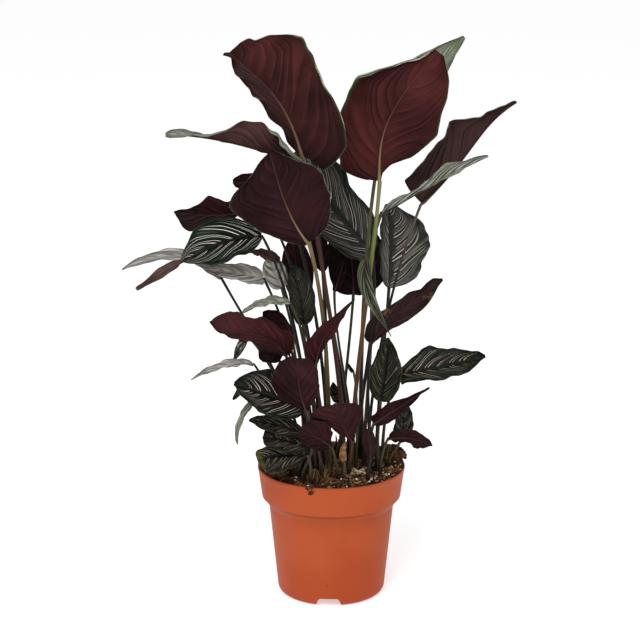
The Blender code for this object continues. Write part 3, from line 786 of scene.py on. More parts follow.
@dataclass(frozen=True)
class FloorFinish:
    """Plain pale floor, lit a little from within."""

    name: str = "studio_floor"
    pale: Colour = (0.93, 0.93, 0.93, 1.0)
    glow: float = 0.50

    def make(self) -> Material:
        """Build the material.

        Returns:
            The material.
        """
        graph = Graph(self.name)
        graph.feed(graph.shader.inputs["Emission Color"], WHITE)
        return graph.finish(self.pale, 0.9, Specular_IOR_Level=0.0, Emission_Strength=self.glow)


class Paints:
    """Makes each finish's material once."""

    def __init__(self) -> None:
        """Start with none made."""
        self.made: dict[str, Material] = {}

    def get(self, finish: Any) -> Material:
        """Return the material of a finish, which is made on first use.

        Args:
            finish: One of the finishes; those that share a name are the same.

        Returns:
            The finish's material.
        """
        if finish.name not in self.made:
            self.made[finish.name] = finish.make()
        return self.made[finish.name]


GREEN_TOP = StripedTop("top_deep_green")
LOW_TOP = StripedTop("top_low_green", deep=(10, 13, 9), band=(30, 36, 24), far=(150, 144, 126))
RED_UNDER = BurgundyUnder("under_red_burgundy", rimmed=0.7)
DARK_UNDER = BurgundyUnder("under_dark_burgundy", (28, 11, 13), (54, 26, 28))


class Coat(Enum):
    """How a blade is coloured: the finishes of its upper and its under side."""

    RED = (GREEN_TOP, RED_UNDER)
    EMBER = (GREEN_TOP, BurgundyUnder("under_red_shaded", (23, 8, 8), (84, 39, 38),
                                      (88, 44, 38), base_shade=0.85, rimmed=0.7))
    WINE = (LOW_TOP, BurgundyUnder("under_wine", (24, 9, 11), (56, 25, 28), (80, 42, 41)))
    BERRY = (LOW_TOP, BurgundyUnder("under_berry", (21, 8, 9), (72, 34, 38), (78, 40, 42)))
    ROSE = (LOW_TOP, BurgundyUnder("under_rose", (36, 14, 15), (82, 37, 39), (104, 56, 55)))
    LIMED = (StripedTop("top_yellowing", deep=(16, 14, 10), band=(44, 40, 30),
                        edge=(70, 74, 28), near=(196, 176, 160), far=(164, 150, 130),
                        weight=0.9, extra=1.0, limed=0.85), DARK_UNDER)
    DENSE = (StripedTop("top_dense_stripes", deep=(15, 13, 9), band=(43, 38, 28),
                        edge=(40, 46, 28), near=(180, 158, 144), far=(148, 133, 114),
                        weight=0.9, extra=1.0), RED_UNDER)
    CRISP = (StripedTop("top_crisp_stripes", deep=(7, 11, 6), band=(22, 28, 18),
                        edge=(46, 62, 34), near=(234, 208, 196), far=(200, 188, 172),
                        weight=1.12, extra=0.6), RED_UNDER)
    SHEEN = (StripedTop("top_grey_sheen", deep=(24, 26, 21), band=(92, 92, 85),
                        near=(222, 202, 192), far=(182, 174, 164), weight=1.25, extra=0.8,
                        gloss=0.40, shine=0.28), DARK_UNDER)
    DUSK = (StripedTop("top_dusky", deep=(18, 21, 16), band=(62, 62, 51),
                       near=(228, 206, 198), far=(196, 184, 174), gloss=0.40, shine=0.22),
            BurgundyUnder("under_dusky", (26, 11, 13), (56, 27, 28)))
    VIVID = (StripedTop("top_vivid_green", deep=(6, 12, 6), band=(17, 33, 17),
                        edge=(52, 76, 44), near=(240, 226, 218), far=(222, 222, 208),
                        weight=1.18, extra=0.1, gloss=0.34, shine=0.12),
             BurgundyUnder("under_pinkish", (62, 42, 38), (122, 98, 88)))
    ASH = (StripedTop("top_ash", deep=(120, 124, 110), band=(182, 184, 170),
                      edge=(120, 130, 104), near=(206, 194, 184), far=(196, 190, 178),
                      rolled=(176, 178, 162)),
           BurgundyUnder("under_ash", (40, 22, 22), (86, 56, 54), (112, 84, 78)))
    PLUM = (StripedTop("top_plum", deep=(12, 13, 9), band=(30, 32, 23)),
            BurgundyUnder("under_plum", (38, 24, 25), (71, 47, 46), (80, 56, 56)))
    PALE = (StripedTop("top_pale_grey", deep=(172, 167, 162), band=(226, 221, 216),
                       edge=(120, 122, 100), near=(78, 66, 62), far=(96, 86, 80),
                       weight=1.5, crease_shade=0.62, tinged=0.10, gloss=0.42, shine=0.3),
            BurgundyUnder("under_brown", (52, 32, 28), (96, 74, 66)))
    FOLDED = (StripedTop("top_folded_grey", deep=(146, 148, 136), band=(206, 206, 196),
                         edge=(104, 120, 80), near=(50, 48, 42), far=(66, 64, 56),
                         weight=1.6, crease_shade=0.55, tinged=0.55, gloss=0.42, shine=0.3),
              BurgundyUnder("under_folded", (52, 32, 28), (96, 74, 66)))
    SAGE = (StripedTop("top_sage", deep=(106, 118, 92), band=(168, 172, 152),
                       edge=(84, 100, 66), near=(216, 218, 204), far=(206, 208, 194)),
            BurgundyUnder("under_sage", (36, 18, 16), (70, 38, 34)))
    FADED = (StripedTop("top_faded_olive", deep=(64, 63, 54), band=(122, 123, 106),
                        edge=(140, 148, 104), near=(34, 28, 22), far=(44, 38, 30), crease_shade=0.6,
                        tinged=0.35, tinge=(122, 130, 94), gloss=0.42, shine=0.24),
             BurgundyUnder("under_faded", (30, 18, 16), (64, 42, 36)))
    # Darker, duller copy of the striped top for leaves inside the plant: its dimness is painted shade; its
    # yellowing edge is real
    DIM = (StripedTop("top_dim_olive", deep=(14, 15, 10), band=(38, 42, 26),
                      edge=(66, 84, 40), near=(148, 134, 104), far=(122, 112, 86),
                      stripes=0.7, limed=0.5),
           BurgundyUnder("under_dim", (26, 11, 12), (52, 26, 28)))
    UMBER = (StripedTop("top_umber", deep=(12, 13, 9), band=(32, 34, 24)),
             BurgundyUnder("under_umber", (22, 12, 13), (56, 38, 36), (72, 54, 46), scorch=1.0))
    # Darker copy of the leaf colours for leaves deep inside the plant: their darkness is painted shade
    SHADE = (StripedTop("top_shade_green", deep=(12, 12, 8), band=(44, 43, 31),
                        near=(120, 112, 92), far=(104, 98, 78), stripes=0.7),
             BurgundyUnder("under_shade", (18, 8, 9), (50, 21, 24), (64, 32, 32)))
    HUSK = (DryFinish("dry_husk_top", (176, 132, 88), (84, 50, 30)),
            DryFinish("dry_husk_under", (160, 116, 76), (78, 46, 28)))
    SHEATH = (DryFinish("sheath_top", (50, 24, 28), (14, 8, 8)),
              DryFinish("sheath_under", (48, 20, 22), (16, 8, 8)))


class Stalk(Enum):
    """How a petiole and its midrib are coloured."""

    OLIVE = StalkFinish("stalk_olive", (36, 30, 18), (72, 63, 41), (66, 38, 34))
    DARK = StalkFinish("stalk_dark", (18, 17, 13), (36, 35, 28), (54, 27, 27))
    BROWN = StalkFinish("stalk_brown", (44, 28, 23), (84, 66, 54), (72, 38, 35))
    GREEN = StalkFinish("stalk_green", (44, 44, 26), (84, 84, 52), (76, 50, 38))
    GOLD = StalkFinish("stalk_gold", (92, 78, 38), (124, 106, 76), (126, 106, 76),
                       (92, 54, 46), (0.75, 1.0))
    AMBER = StalkFinish("stalk_amber", (106, 73, 45), (136, 128, 92), (126, 106, 76),
                        (92, 54, 46), (0.45, 0.85), 0.8)
    RUSSET = StalkFinish("stalk_russet", (74, 48, 35), (116, 96, 68), (104, 76, 58),
                         (66, 32, 29), (0.72, 0.98))
    FERN = StalkFinish("stalk_fern", (34, 48, 30), (54, 62, 44), (54, 30, 28))
    TAUPE = StalkFinish("stalk_taupe", (34, 32, 27), (96, 82, 76), (72, 50, 48),
                        turn=(0.60, 0.98))
    SHADE = StalkFinish("stalk_shade", (22, 12, 12), (40, 22, 20), (50, 24, 24))


# Leafy stems


def through(points: np.ndarray, s: np.ndarray) -> np.ndarray:
    """Points at places s, 0 to 1, on the smooth curve through evenly spaced points.

    Args:
        points: The points that the curve passes.
        s: Places on the curve.

    Returns:
        A point for each place.
    """
    knots = np.linspace(0.0, 1.0, len(points))
    made = np.zeros(s.shape + (3,))
    for i, point in enumerate(points):
        weight = np.ones_like(s)
        for j, knot in enumerate(knots):
            if j != i:
                weight = weight * (s - knot) / (knots[i] - knot)
        made += weight[..., None] * point
    return made


def hermite(u: np.ndarray, one: Any, leave: Any, two: Any, arrive: Any) -> np.ndarray:
    """Smooth way from one to two at u, 0 to 1, with the slopes leave and arrive at its ends."""
    made = (2 * u ** 3 - 3 * u ** 2 + 1) * one + (u ** 3 - 2 * u ** 2 + u) * leave
    return made + ((3 * u ** 2 - 2 * u ** 3) * two + (u ** 3 - u ** 2) * arrive)


def unit(vectors: np.ndarray) -> np.ndarray:
    """Vectors of length one."""
    return vectors / np.linalg.norm(vectors, axis=-1, keepdims=True)


@dataclass
class Sheet:
    """Vertices, faces, finishes and UV maps of a mesh while it is put together."""

    points: list[np.ndarray] = field(default_factory=list)
    faces: list[tuple[int, ...]] = field(default_factory=list)
    slots: list[int] = field(default_factory=list)
    blade: list[list[Pair]] = field(default_factory=list)
    veins: list[list[Pair]] = field(default_factory=list)
    count: int = 0

    def add(self, points: np.ndarray) -> int:
        """Add vertices and return the first one's number.

        Args:
            points: Places of the vertices, in millimetres.

        Returns:
            Number of the first one.
        """
        first = self.count
        self.points.append(points.reshape(-1, 3))
        self.count += self.points[-1].shape[0]
        return first

    def face(self, corners: tuple[int, ...], slot: int, blade: list[Pair], veins: list[Pair]) -> None:
        """Add one face with its finish and its corners' UVs.

        Args:
            corners: Numbers of its vertices.
            slot: Number of its material.
            blade: Each corner's place on the Blade map.
            veins: Each corner's place on the Veins map.
        """
        self.faces.append(corners)
        self.slots.append(slot)
        self.blade.append(blade)
        self.veins.append(veins)

    def take(self, mesh: Mesh, slot: int) -> None:
        """Add all of a mesh in metres, with its UV maps, in one finish.

        Args:
            mesh: A mesh that has the Blade and Veins maps.
            slot: Number of its material.
        """
        places = np.zeros(len(mesh.vertices) * 3)
        mesh.vertices.foreach_get("co", places)
        first = self.add(places / MM)
        blade, veins = (mesh.uv_layers[title].data for title in ("Blade", "Veins"))
        for face in mesh.polygons:
            loops = list(face.loop_indices)
            self.face(tuple(first + v for v in face.vertices), slot,
                      [tuple(blade[i].uv) for i in loops], [tuple(veins[i].uv) for i in loops])

    def mesh(self, name: str, materials: list[Material]) -> Mesh:
        """Turn the sheet into a smooth mesh inside the CAD box.

        Args:
            name: The mesh's name.
            materials: Materials in the order of the slots.

        Returns:
            The mesh, in metres.
        """
        mesh = bpy.data.meshes.new(name)
        mesh.from_pydata((np.concatenate(self.points) * MM).tolist(), [], self.faces)
        for material in materials:
            mesh.materials.append(material)
        mesh.polygons.foreach_set("material_index", self.slots)
        for title, corners in (("Blade", self.blade), ("Veins", self.veins)):
            flat = np.array([corner for face in corners for corner in face], np.float32).ravel()
            mesh.uv_layers.new(name=title).data.foreach_set("uv", flat)
        mesh.shade_smooth()
        mesh.update()
        places = np.zeros(len(mesh.vertices) * 3)
        mesh.vertices.foreach_get("co", places)
        mesh.vertices.foreach_set("co", np.clip(places.reshape(-1, 3), *CAD_BOX).ravel())
        mesh.set_sharp_from_angle(angle=math.radians(60.0))
        return mesh


AWAY = (0.0, 1.0, 0.15)
NEAR = (0.0, -1.0, 0.15)
# Half a blade's thickness in its middle and at its two ends, in millimetres
HALF_THICK = 0.28
END_THICK = 0.07
# A blade over this half width has more rows and columns
LARGE = 26
FINE, COARSE = (86, 17), (56, 12)
# Where on the midrib the rows of a blade start, and how much of it they cover
FROM, SPAN = 0.006, 0.985
# How far round a rolled-back margin turns, in radians, and in how many strips
ROLL_FROM, ROLL_TO, ROLL_STRIPS = 0.45, 2.7, 6
# Least half width, and how far a cornered margin follows straight lines and the smooth curve
LEAST = 0.8
STRAIGHT, CURVED = 0.65, 0.35
# The groove along the midrib: its depth and its reach
GROOVE, GROOVE_REACH = 1.1, 2.4
# The margin's bend: its depth, where it starts, what it spans and the half width where it is full
BEND, BEND_FROM, BEND_SPAN, BEND_FULL = 1.6, 0.93, 0.07, 20.0
# A margin's second wave: its strength, and how many there are to each of the first
SECOND, SECOND_WAVES = 0.45, 2.3
# Power that draws a blade's columns towards its midrib, and how gently its edge thins
CLOSER, THIN_OVER = 1.25, 0.05
# Distance of the side veins on a very short blade, and what each millimetre of length adds
VEIN_GAP, VEIN_MORE = 9.6, 0.05
# Petiole and midrib: how many points each has
PETIOLE_POINTS, MIDRIB_POINTS = 30, 40
# Petiole: pull of its ends as a share of its length, lean towards the midrib, taper, and depth in the soil
PULL, LEAN, TAPER, SUNK = 0.9, 0.4, 0.22, 14.0
# Its swelling at the soil and the one under the blade, each with its reach
SOIL_SWELL, SOIL_REACH = 0.9, 28.0
BLADE_SWELL, BLADE_REACH = 0.35, 16.0


@dataclass(frozen=True)
class Leaf:
    """One leafy stem: a blade with its striped and its burgundy side, midrib and petiole.

    Lengths are in millimetres and angles in degrees, as in the solid that it stands for. Pairs are
    for the right and the left half of the blade. The left widths are the right ones where none are
    given, and the wave (height, number, start) goes by the leaf's turn in the list.
    """

    name: str
    root: Pair
    rib: tuple[Vec, ...]
    right: tuple[float, ...]
    left: tuple[float, ...] = ()
    faces: tuple[Vec, ...] = (AWAY,)
    fold: Pair = (10.0, 10.0)
    cup: Pair = (0.0, 0.0)
    lobe: float = 0.0
    corners: bool = False
    coat: Coat = Coat.RED
    stalk: Stalk = Stalk.OLIVE
    wave: tuple[float, ...] = ()
    girth: float = 2.0
    lip: Pair = (0.0, 0.0)
    roll: Pair = (0.12, 0.98)
    turn: int = 0

    def length(self) -> float:
        """Length of the midrib."""
        points = through(np.asarray(self.rib, float), np.linspace(0.0, 1.0, 24))
        return float(np.linalg.norm(np.diff(points, axis=0), axis=1).sum())

    def along(self, s: np.ndarray) -> tuple[np.ndarray, np.ndarray, np.ndarray, np.ndarray]:
        """Midrib points with tangents, the upper side's normals and the side vectors.

        Args:
            s: Places along the midrib, 0 to 1.

        Returns:
            Points, tangents, normals and side vectors, one of each for each place.
        """
        rib = np.asarray(self.rib, float)
        point = through(rib, s)
        tangent = unit(through(rib, s + 0.001) - through(rib, s - 0.001))
        faces = np.asarray(self.faces, float)
        stops = np.linspace(0.0, 1.0, len(faces))
        face = np.stack([np.interp(s, stops, faces[:, k]) for k in range(3)], -1)
        normal = unit(face - (face * tangent).sum(-1, keepdims=True) * tangent)
        return point, tangent, normal, np.cross(tangent, normal)

    def width(self, s: np.ndarray, left: bool) -> np.ndarray:
        """Widths from the midrib to the right or the left margin at places s, never under LEAST.

        Args:
            s: Places along the midrib, 0 to 1.
            left: Whether the left margin is meant.

        Returns:
            A width for each place, in millimetres.
        """
        s = np.clip(s, 1e-6, 1.0 - 1e-6)
        given = self.left if left and self.left else self.right
        knots = np.arccos(1.0 - 2.0 * np.array((0.0,) + STATIONS[len(given)] + (1.0,)))
        widths = np.array((0.0,) + given + (0.0,))
        at = np.arccos(1.0 - 2.0 * s)
        i = np.clip(np.searchsorted(knots, at) - 1, 0, len(knots) - 2)
        step = knots[i + 1] - knots[i]
        u = (at - knots[i]) / step
        slope = np.gradient(widths, knots)
        smooth = hermite(u, widths[i], step * slope[i], widths[i + 1], step * slope[i + 1])
        if self.corners or len(self.right) > 7:
            smooth = STRAIGHT * (widths[i] + (widths[i + 1] - widths[i]) * u) + CURVED * smooth
        return np.maximum(smooth, LEAST)

    def skin(self, s: np.ndarray, x: np.ndarray) -> np.ndarray:
        """Points of the blade's middle surface.

        Args:
            s: Places along the midrib, one for each row.
            x: Places across the blade, -1 to 1, one for each column.

        Returns:
            A grid of points.
        """
        point, tangent, normal, beside = (part[:, None, :] for part in self.along(s))
        right = x[None, :] > 0
        v = np.abs(x)[None, :]
        w = np.where(right, self.width(s, False)[:, None], self.width(s, True)[:, None])
        s = s[:, None]
        fold = np.radians(np.where(right, *self.fold))
        cup = np.radians(np.maximum(np.where(right, *self.cup), 0.1))
        across = w * (np.sin(fold + cup * v) - np.sin(fold)) / cup
        rise = w * (np.cos(fold) - np.cos(fold + cup * v)) / cup
        height, waves, start = self.wave or (1.2, 3.0, round(0.37 * self.turn % 1, 2))
        ripple = np.sin(TURN * (waves * (s - 0.2 * v) + start + 0.31 * right))
        second = SECOND_WAVES * waves * (s - 0.16 * v) + 2.0 * start + 0.6 * right
        ripple += SECOND * np.sin(TURN * second)
        rise = rise + height * v ** 2 * ripple * np.sqrt(np.sin(math.pi * np.clip(s, 0, 1)))
        # A groove along the midrib and a margin that bends down
        rise = rise - GROOVE * np.exp(-(v * w / GROOVE_REACH) ** 2)
        bend = np.clip((v - BEND_FROM) / BEND_SPAN, 0.0, 1.0)
        rise = rise - BEND * bend ** 2 * np.minimum(1.0, w / BEND_FULL)
        back = self.lobe * v ** 2 * (1.0 - s) ** 5
        way = np.where(right, 1.0, -1.0)
        return (point + beside * (across * way)[..., None] + normal * rise[..., None]
                - tangent * back[..., None])

    def blade(self, sheet: Sheet) -> None:
        """Lay the blade's two sides and close them round the margin.

        Args:
            sheet: The leaf's mesh in the making.
        """
        rows, half = FINE if max(self.right + self.left) > LARGE else COARSE
        s = 0.5 * (1.0 - np.cos(math.pi * np.linspace(0.0, 1.0, rows + 1))) * SPAN + FROM
        t = np.linspace(-1.0, 1.0, 2 * half + 1)
        x = np.sign(t) * np.abs(t) ** CLOSER
        middle = self.skin(s, x)
        slopes = unit(np.cross(np.gradient(middle, axis=0), np.gradient(middle, axis=1)))
        towards = self.along(s)[2][:, None, :]
        slopes = slopes * np.where((slopes * towards).sum(-1, keepdims=True) < 0, -1.0, 1.0)
        middle, slopes, x = self.lips(s, x, middle, slopes)
        v = np.minimum(np.abs(x), 2.0 - np.abs(x))
        thin = HALF_THICK * np.minimum(1.0, np.abs(1.0 - v) / THIN_OVER + 0.25)[None, :, None]
        thin[:, 0] = thin[:, -1] = END_THICK
        columns = len(x)
        top = sheet.add(middle + slopes * thin)
        under = sheet.add(middle - slopes * thin)
        x = np.where(np.abs(x) > 1.0, x, np.sign(x) * v)
        # How many side veins the shader draws: a long blade has them wider apart
        count = self.length() / (VEIN_GAP + VEIN_MORE * self.length())
        for r in range(rows):
            for c in range(columns - 1):
                seed = 7.3 * self.turn + (50.0 if x[c] + x[c + 1] > 0 else 90.0)
                corners = ((r, c), (r, c + 1), (r + 1, c + 1), (r + 1, c))
                blade = [(s[a], 0.5 + 0.5 * x[b]) for a, b in corners]
                veins = [(count, seed)] * 4
                numbers = tuple(a * columns + b for a, b in corners)
                sheet.face(tuple(top + n for n in numbers), 0, blade, veins)
                sheet.face(tuple(under + n for n in reversed(numbers)), 1, blade[::-1], veins)
        self.rim(sheet, top, under, rows, columns)

    def lips(self, s: np.ndarray, x: np.ndarray, middle: np.ndarray,
             slopes: np.ndarray) -> tuple[np.ndarray, np.ndarray, np.ndarray]:
        """Roll a margin back over the under side, which shows a strip of the striped side.

        Args:
            s: Places along the midrib.
            x: Places across the blade.
            middle: Points of the blade, one row for each place along it.
            slopes: Normals of its upper side.

        Returns:
            The points, normals and places across, with those of the rolled strips added.
        """
        share = np.clip((s - self.roll[0]) / (self.roll[1] - self.roll[0]), 0.0, 1.0)
        swell = np.sin(math.pi * share) ** 0.6
        swell = (swell * (0.8 + 0.2 * np.sin(19.0 * s + self.turn)))[:, None]
        for wide, last, before, way in zip(self.lip, (-1, 0), (-2, 1), (1, -1)):
            if not wide:
                continue
            edge, normal = middle[:, last], slopes[:, before]
            outward = edge - middle[:, before]
            outward = unit(outward - (outward * normal).sum(-1, keepdims=True) * normal)
            radius = wide * swell / ROLL_TO
            turns = np.linspace(ROLL_FROM, ROLL_TO, ROLL_STRIPS)[::way]
            strips = [edge + outward * radius * math.sin(turn) - normal * radius * (1.0 - math.cos(turn))
                      for turn in turns]
            turned = [outward * math.sin(turn) + normal * math.cos(turn) for turn in turns]
            middle = np.concatenate((middle, np.stack(strips, 1))[::way], 1)
            slopes = np.concatenate((slopes, np.stack(turned, 1))[::way], 1)
            x = np.concatenate((x, way * (1.0 + 0.03 * turns))[::way])
        return middle, slopes, x

    def rim(self, sheet: Sheet, top: int, under: int, rows: int, columns: int) -> None:
        """Close the two sides of the blade along its edge.

        Args:
            sheet: The leaf's mesh in the making.
            top: Number of the top side's first vertex.
            under: Number of the under side's first vertex.
            rows: Number of the last row.
            columns: How many vertices a row has.
        """
        ring = [(0, c) for c in range(columns)] + [(r, columns - 1) for r in range(1, rows + 1)]
        ring += [(rows, c) for c in range(columns - 2, -1, -1)] + [(r, 0) for r in range(rows - 1, 0, -1)]
        for (a, b), (c, d) in zip(ring, ring[1:] + ring[:1]):
            one, two = a * columns + b, c * columns + d
            sheet.face((top + one, under + one, under + two, top + two), 0, [(0.5, 1.0)] * 4,
                       [(0.0, 1.0)] * 4)

    def spine(self) -> tuple[np.ndarray, np.ndarray, np.ndarray]:
        """Path of the petiole and midrib.

        Returns:
            Its points, their radii, and their places: 0 to 1 up the petiole, 1 to 2 along the rib.
        """
        x, y = (value * MM for value in self.root)
        root = np.array((x, y, float(soil_height(x, y)) + 0.002)) / MM
        base = np.asarray(self.rib[0], float)
        length = np.linalg.norm(base - root)
        along = self.along(np.array([0.01]))[1][0]
        start = np.array((0.0, 0.0, PULL * length))
        end = unit(LEAN * along + unit(base - root)) * PULL * length
        u = np.linspace(0.0, 1.0, PETIOLE_POINTS)
        path = hermite(u[:, None], root, start, base, end)
        # The petiole thickens at the soil and a little under the blade
        girth = self.girth * (1.0 - TAPER * u) + SOIL_SWELL * np.exp(-u * length / SOIL_REACH)
        girth = girth + BLADE_SWELL * np.exp(-((1.0 - u) * length / BLADE_REACH) ** 2)
        below = np.array([[root[0], root[1], SOIL_Z / MM - SUNK]])
        s = np.linspace(0.02, 0.97, MIDRIB_POINTS)
        point, _, normal, _ = self.along(s)
        ends = girth[-1] * 0.50 * (1.0 - s) ** 1.1 + 0.24 + girth[-1] * 0.4 * np.exp(-s / 0.06)
        ribs = point - normal * (0.8 * ends + 1.0)[:, None]
        return (np.concatenate([below, path, ribs]), np.concatenate([[girth[0]], girth, ends]),
                np.concatenate([[0.0], u, 1.0 + s]))

    def build(self, paints: Paints, tree: Tree) -> Object:
        """Make the leafy stem and put it in place of its solid.

        Args:
            paints: Source of the materials.
            tree: The tree that sweeps its petiole and midrib as one closed stalk.

        Returns:
            The finished piece.
        """
        sheet = Sheet()
        self.blade(sheet)
        coats = [paints.get(finish) for finish in (*self.coat.value, self.stalk.value)]
        points, radii, places = self.spine()
        edges = [(i, i + 1) for i in range(len(points) - 1)]
        stalk = path_piece("stalk_" + self.name, (points * MM).tolist(), edges, radii * MM, places)
        sheet.take(tree.apply(stalk, Sides=10, Material=coats[2]).data, 2)
        remove(stalk)
        piece = placed("foliage_" + self.name, sheet.mesh("foliage_" + self.name, coats))
        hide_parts("leaf_" + self.name)
        ride(piece)
        return piece


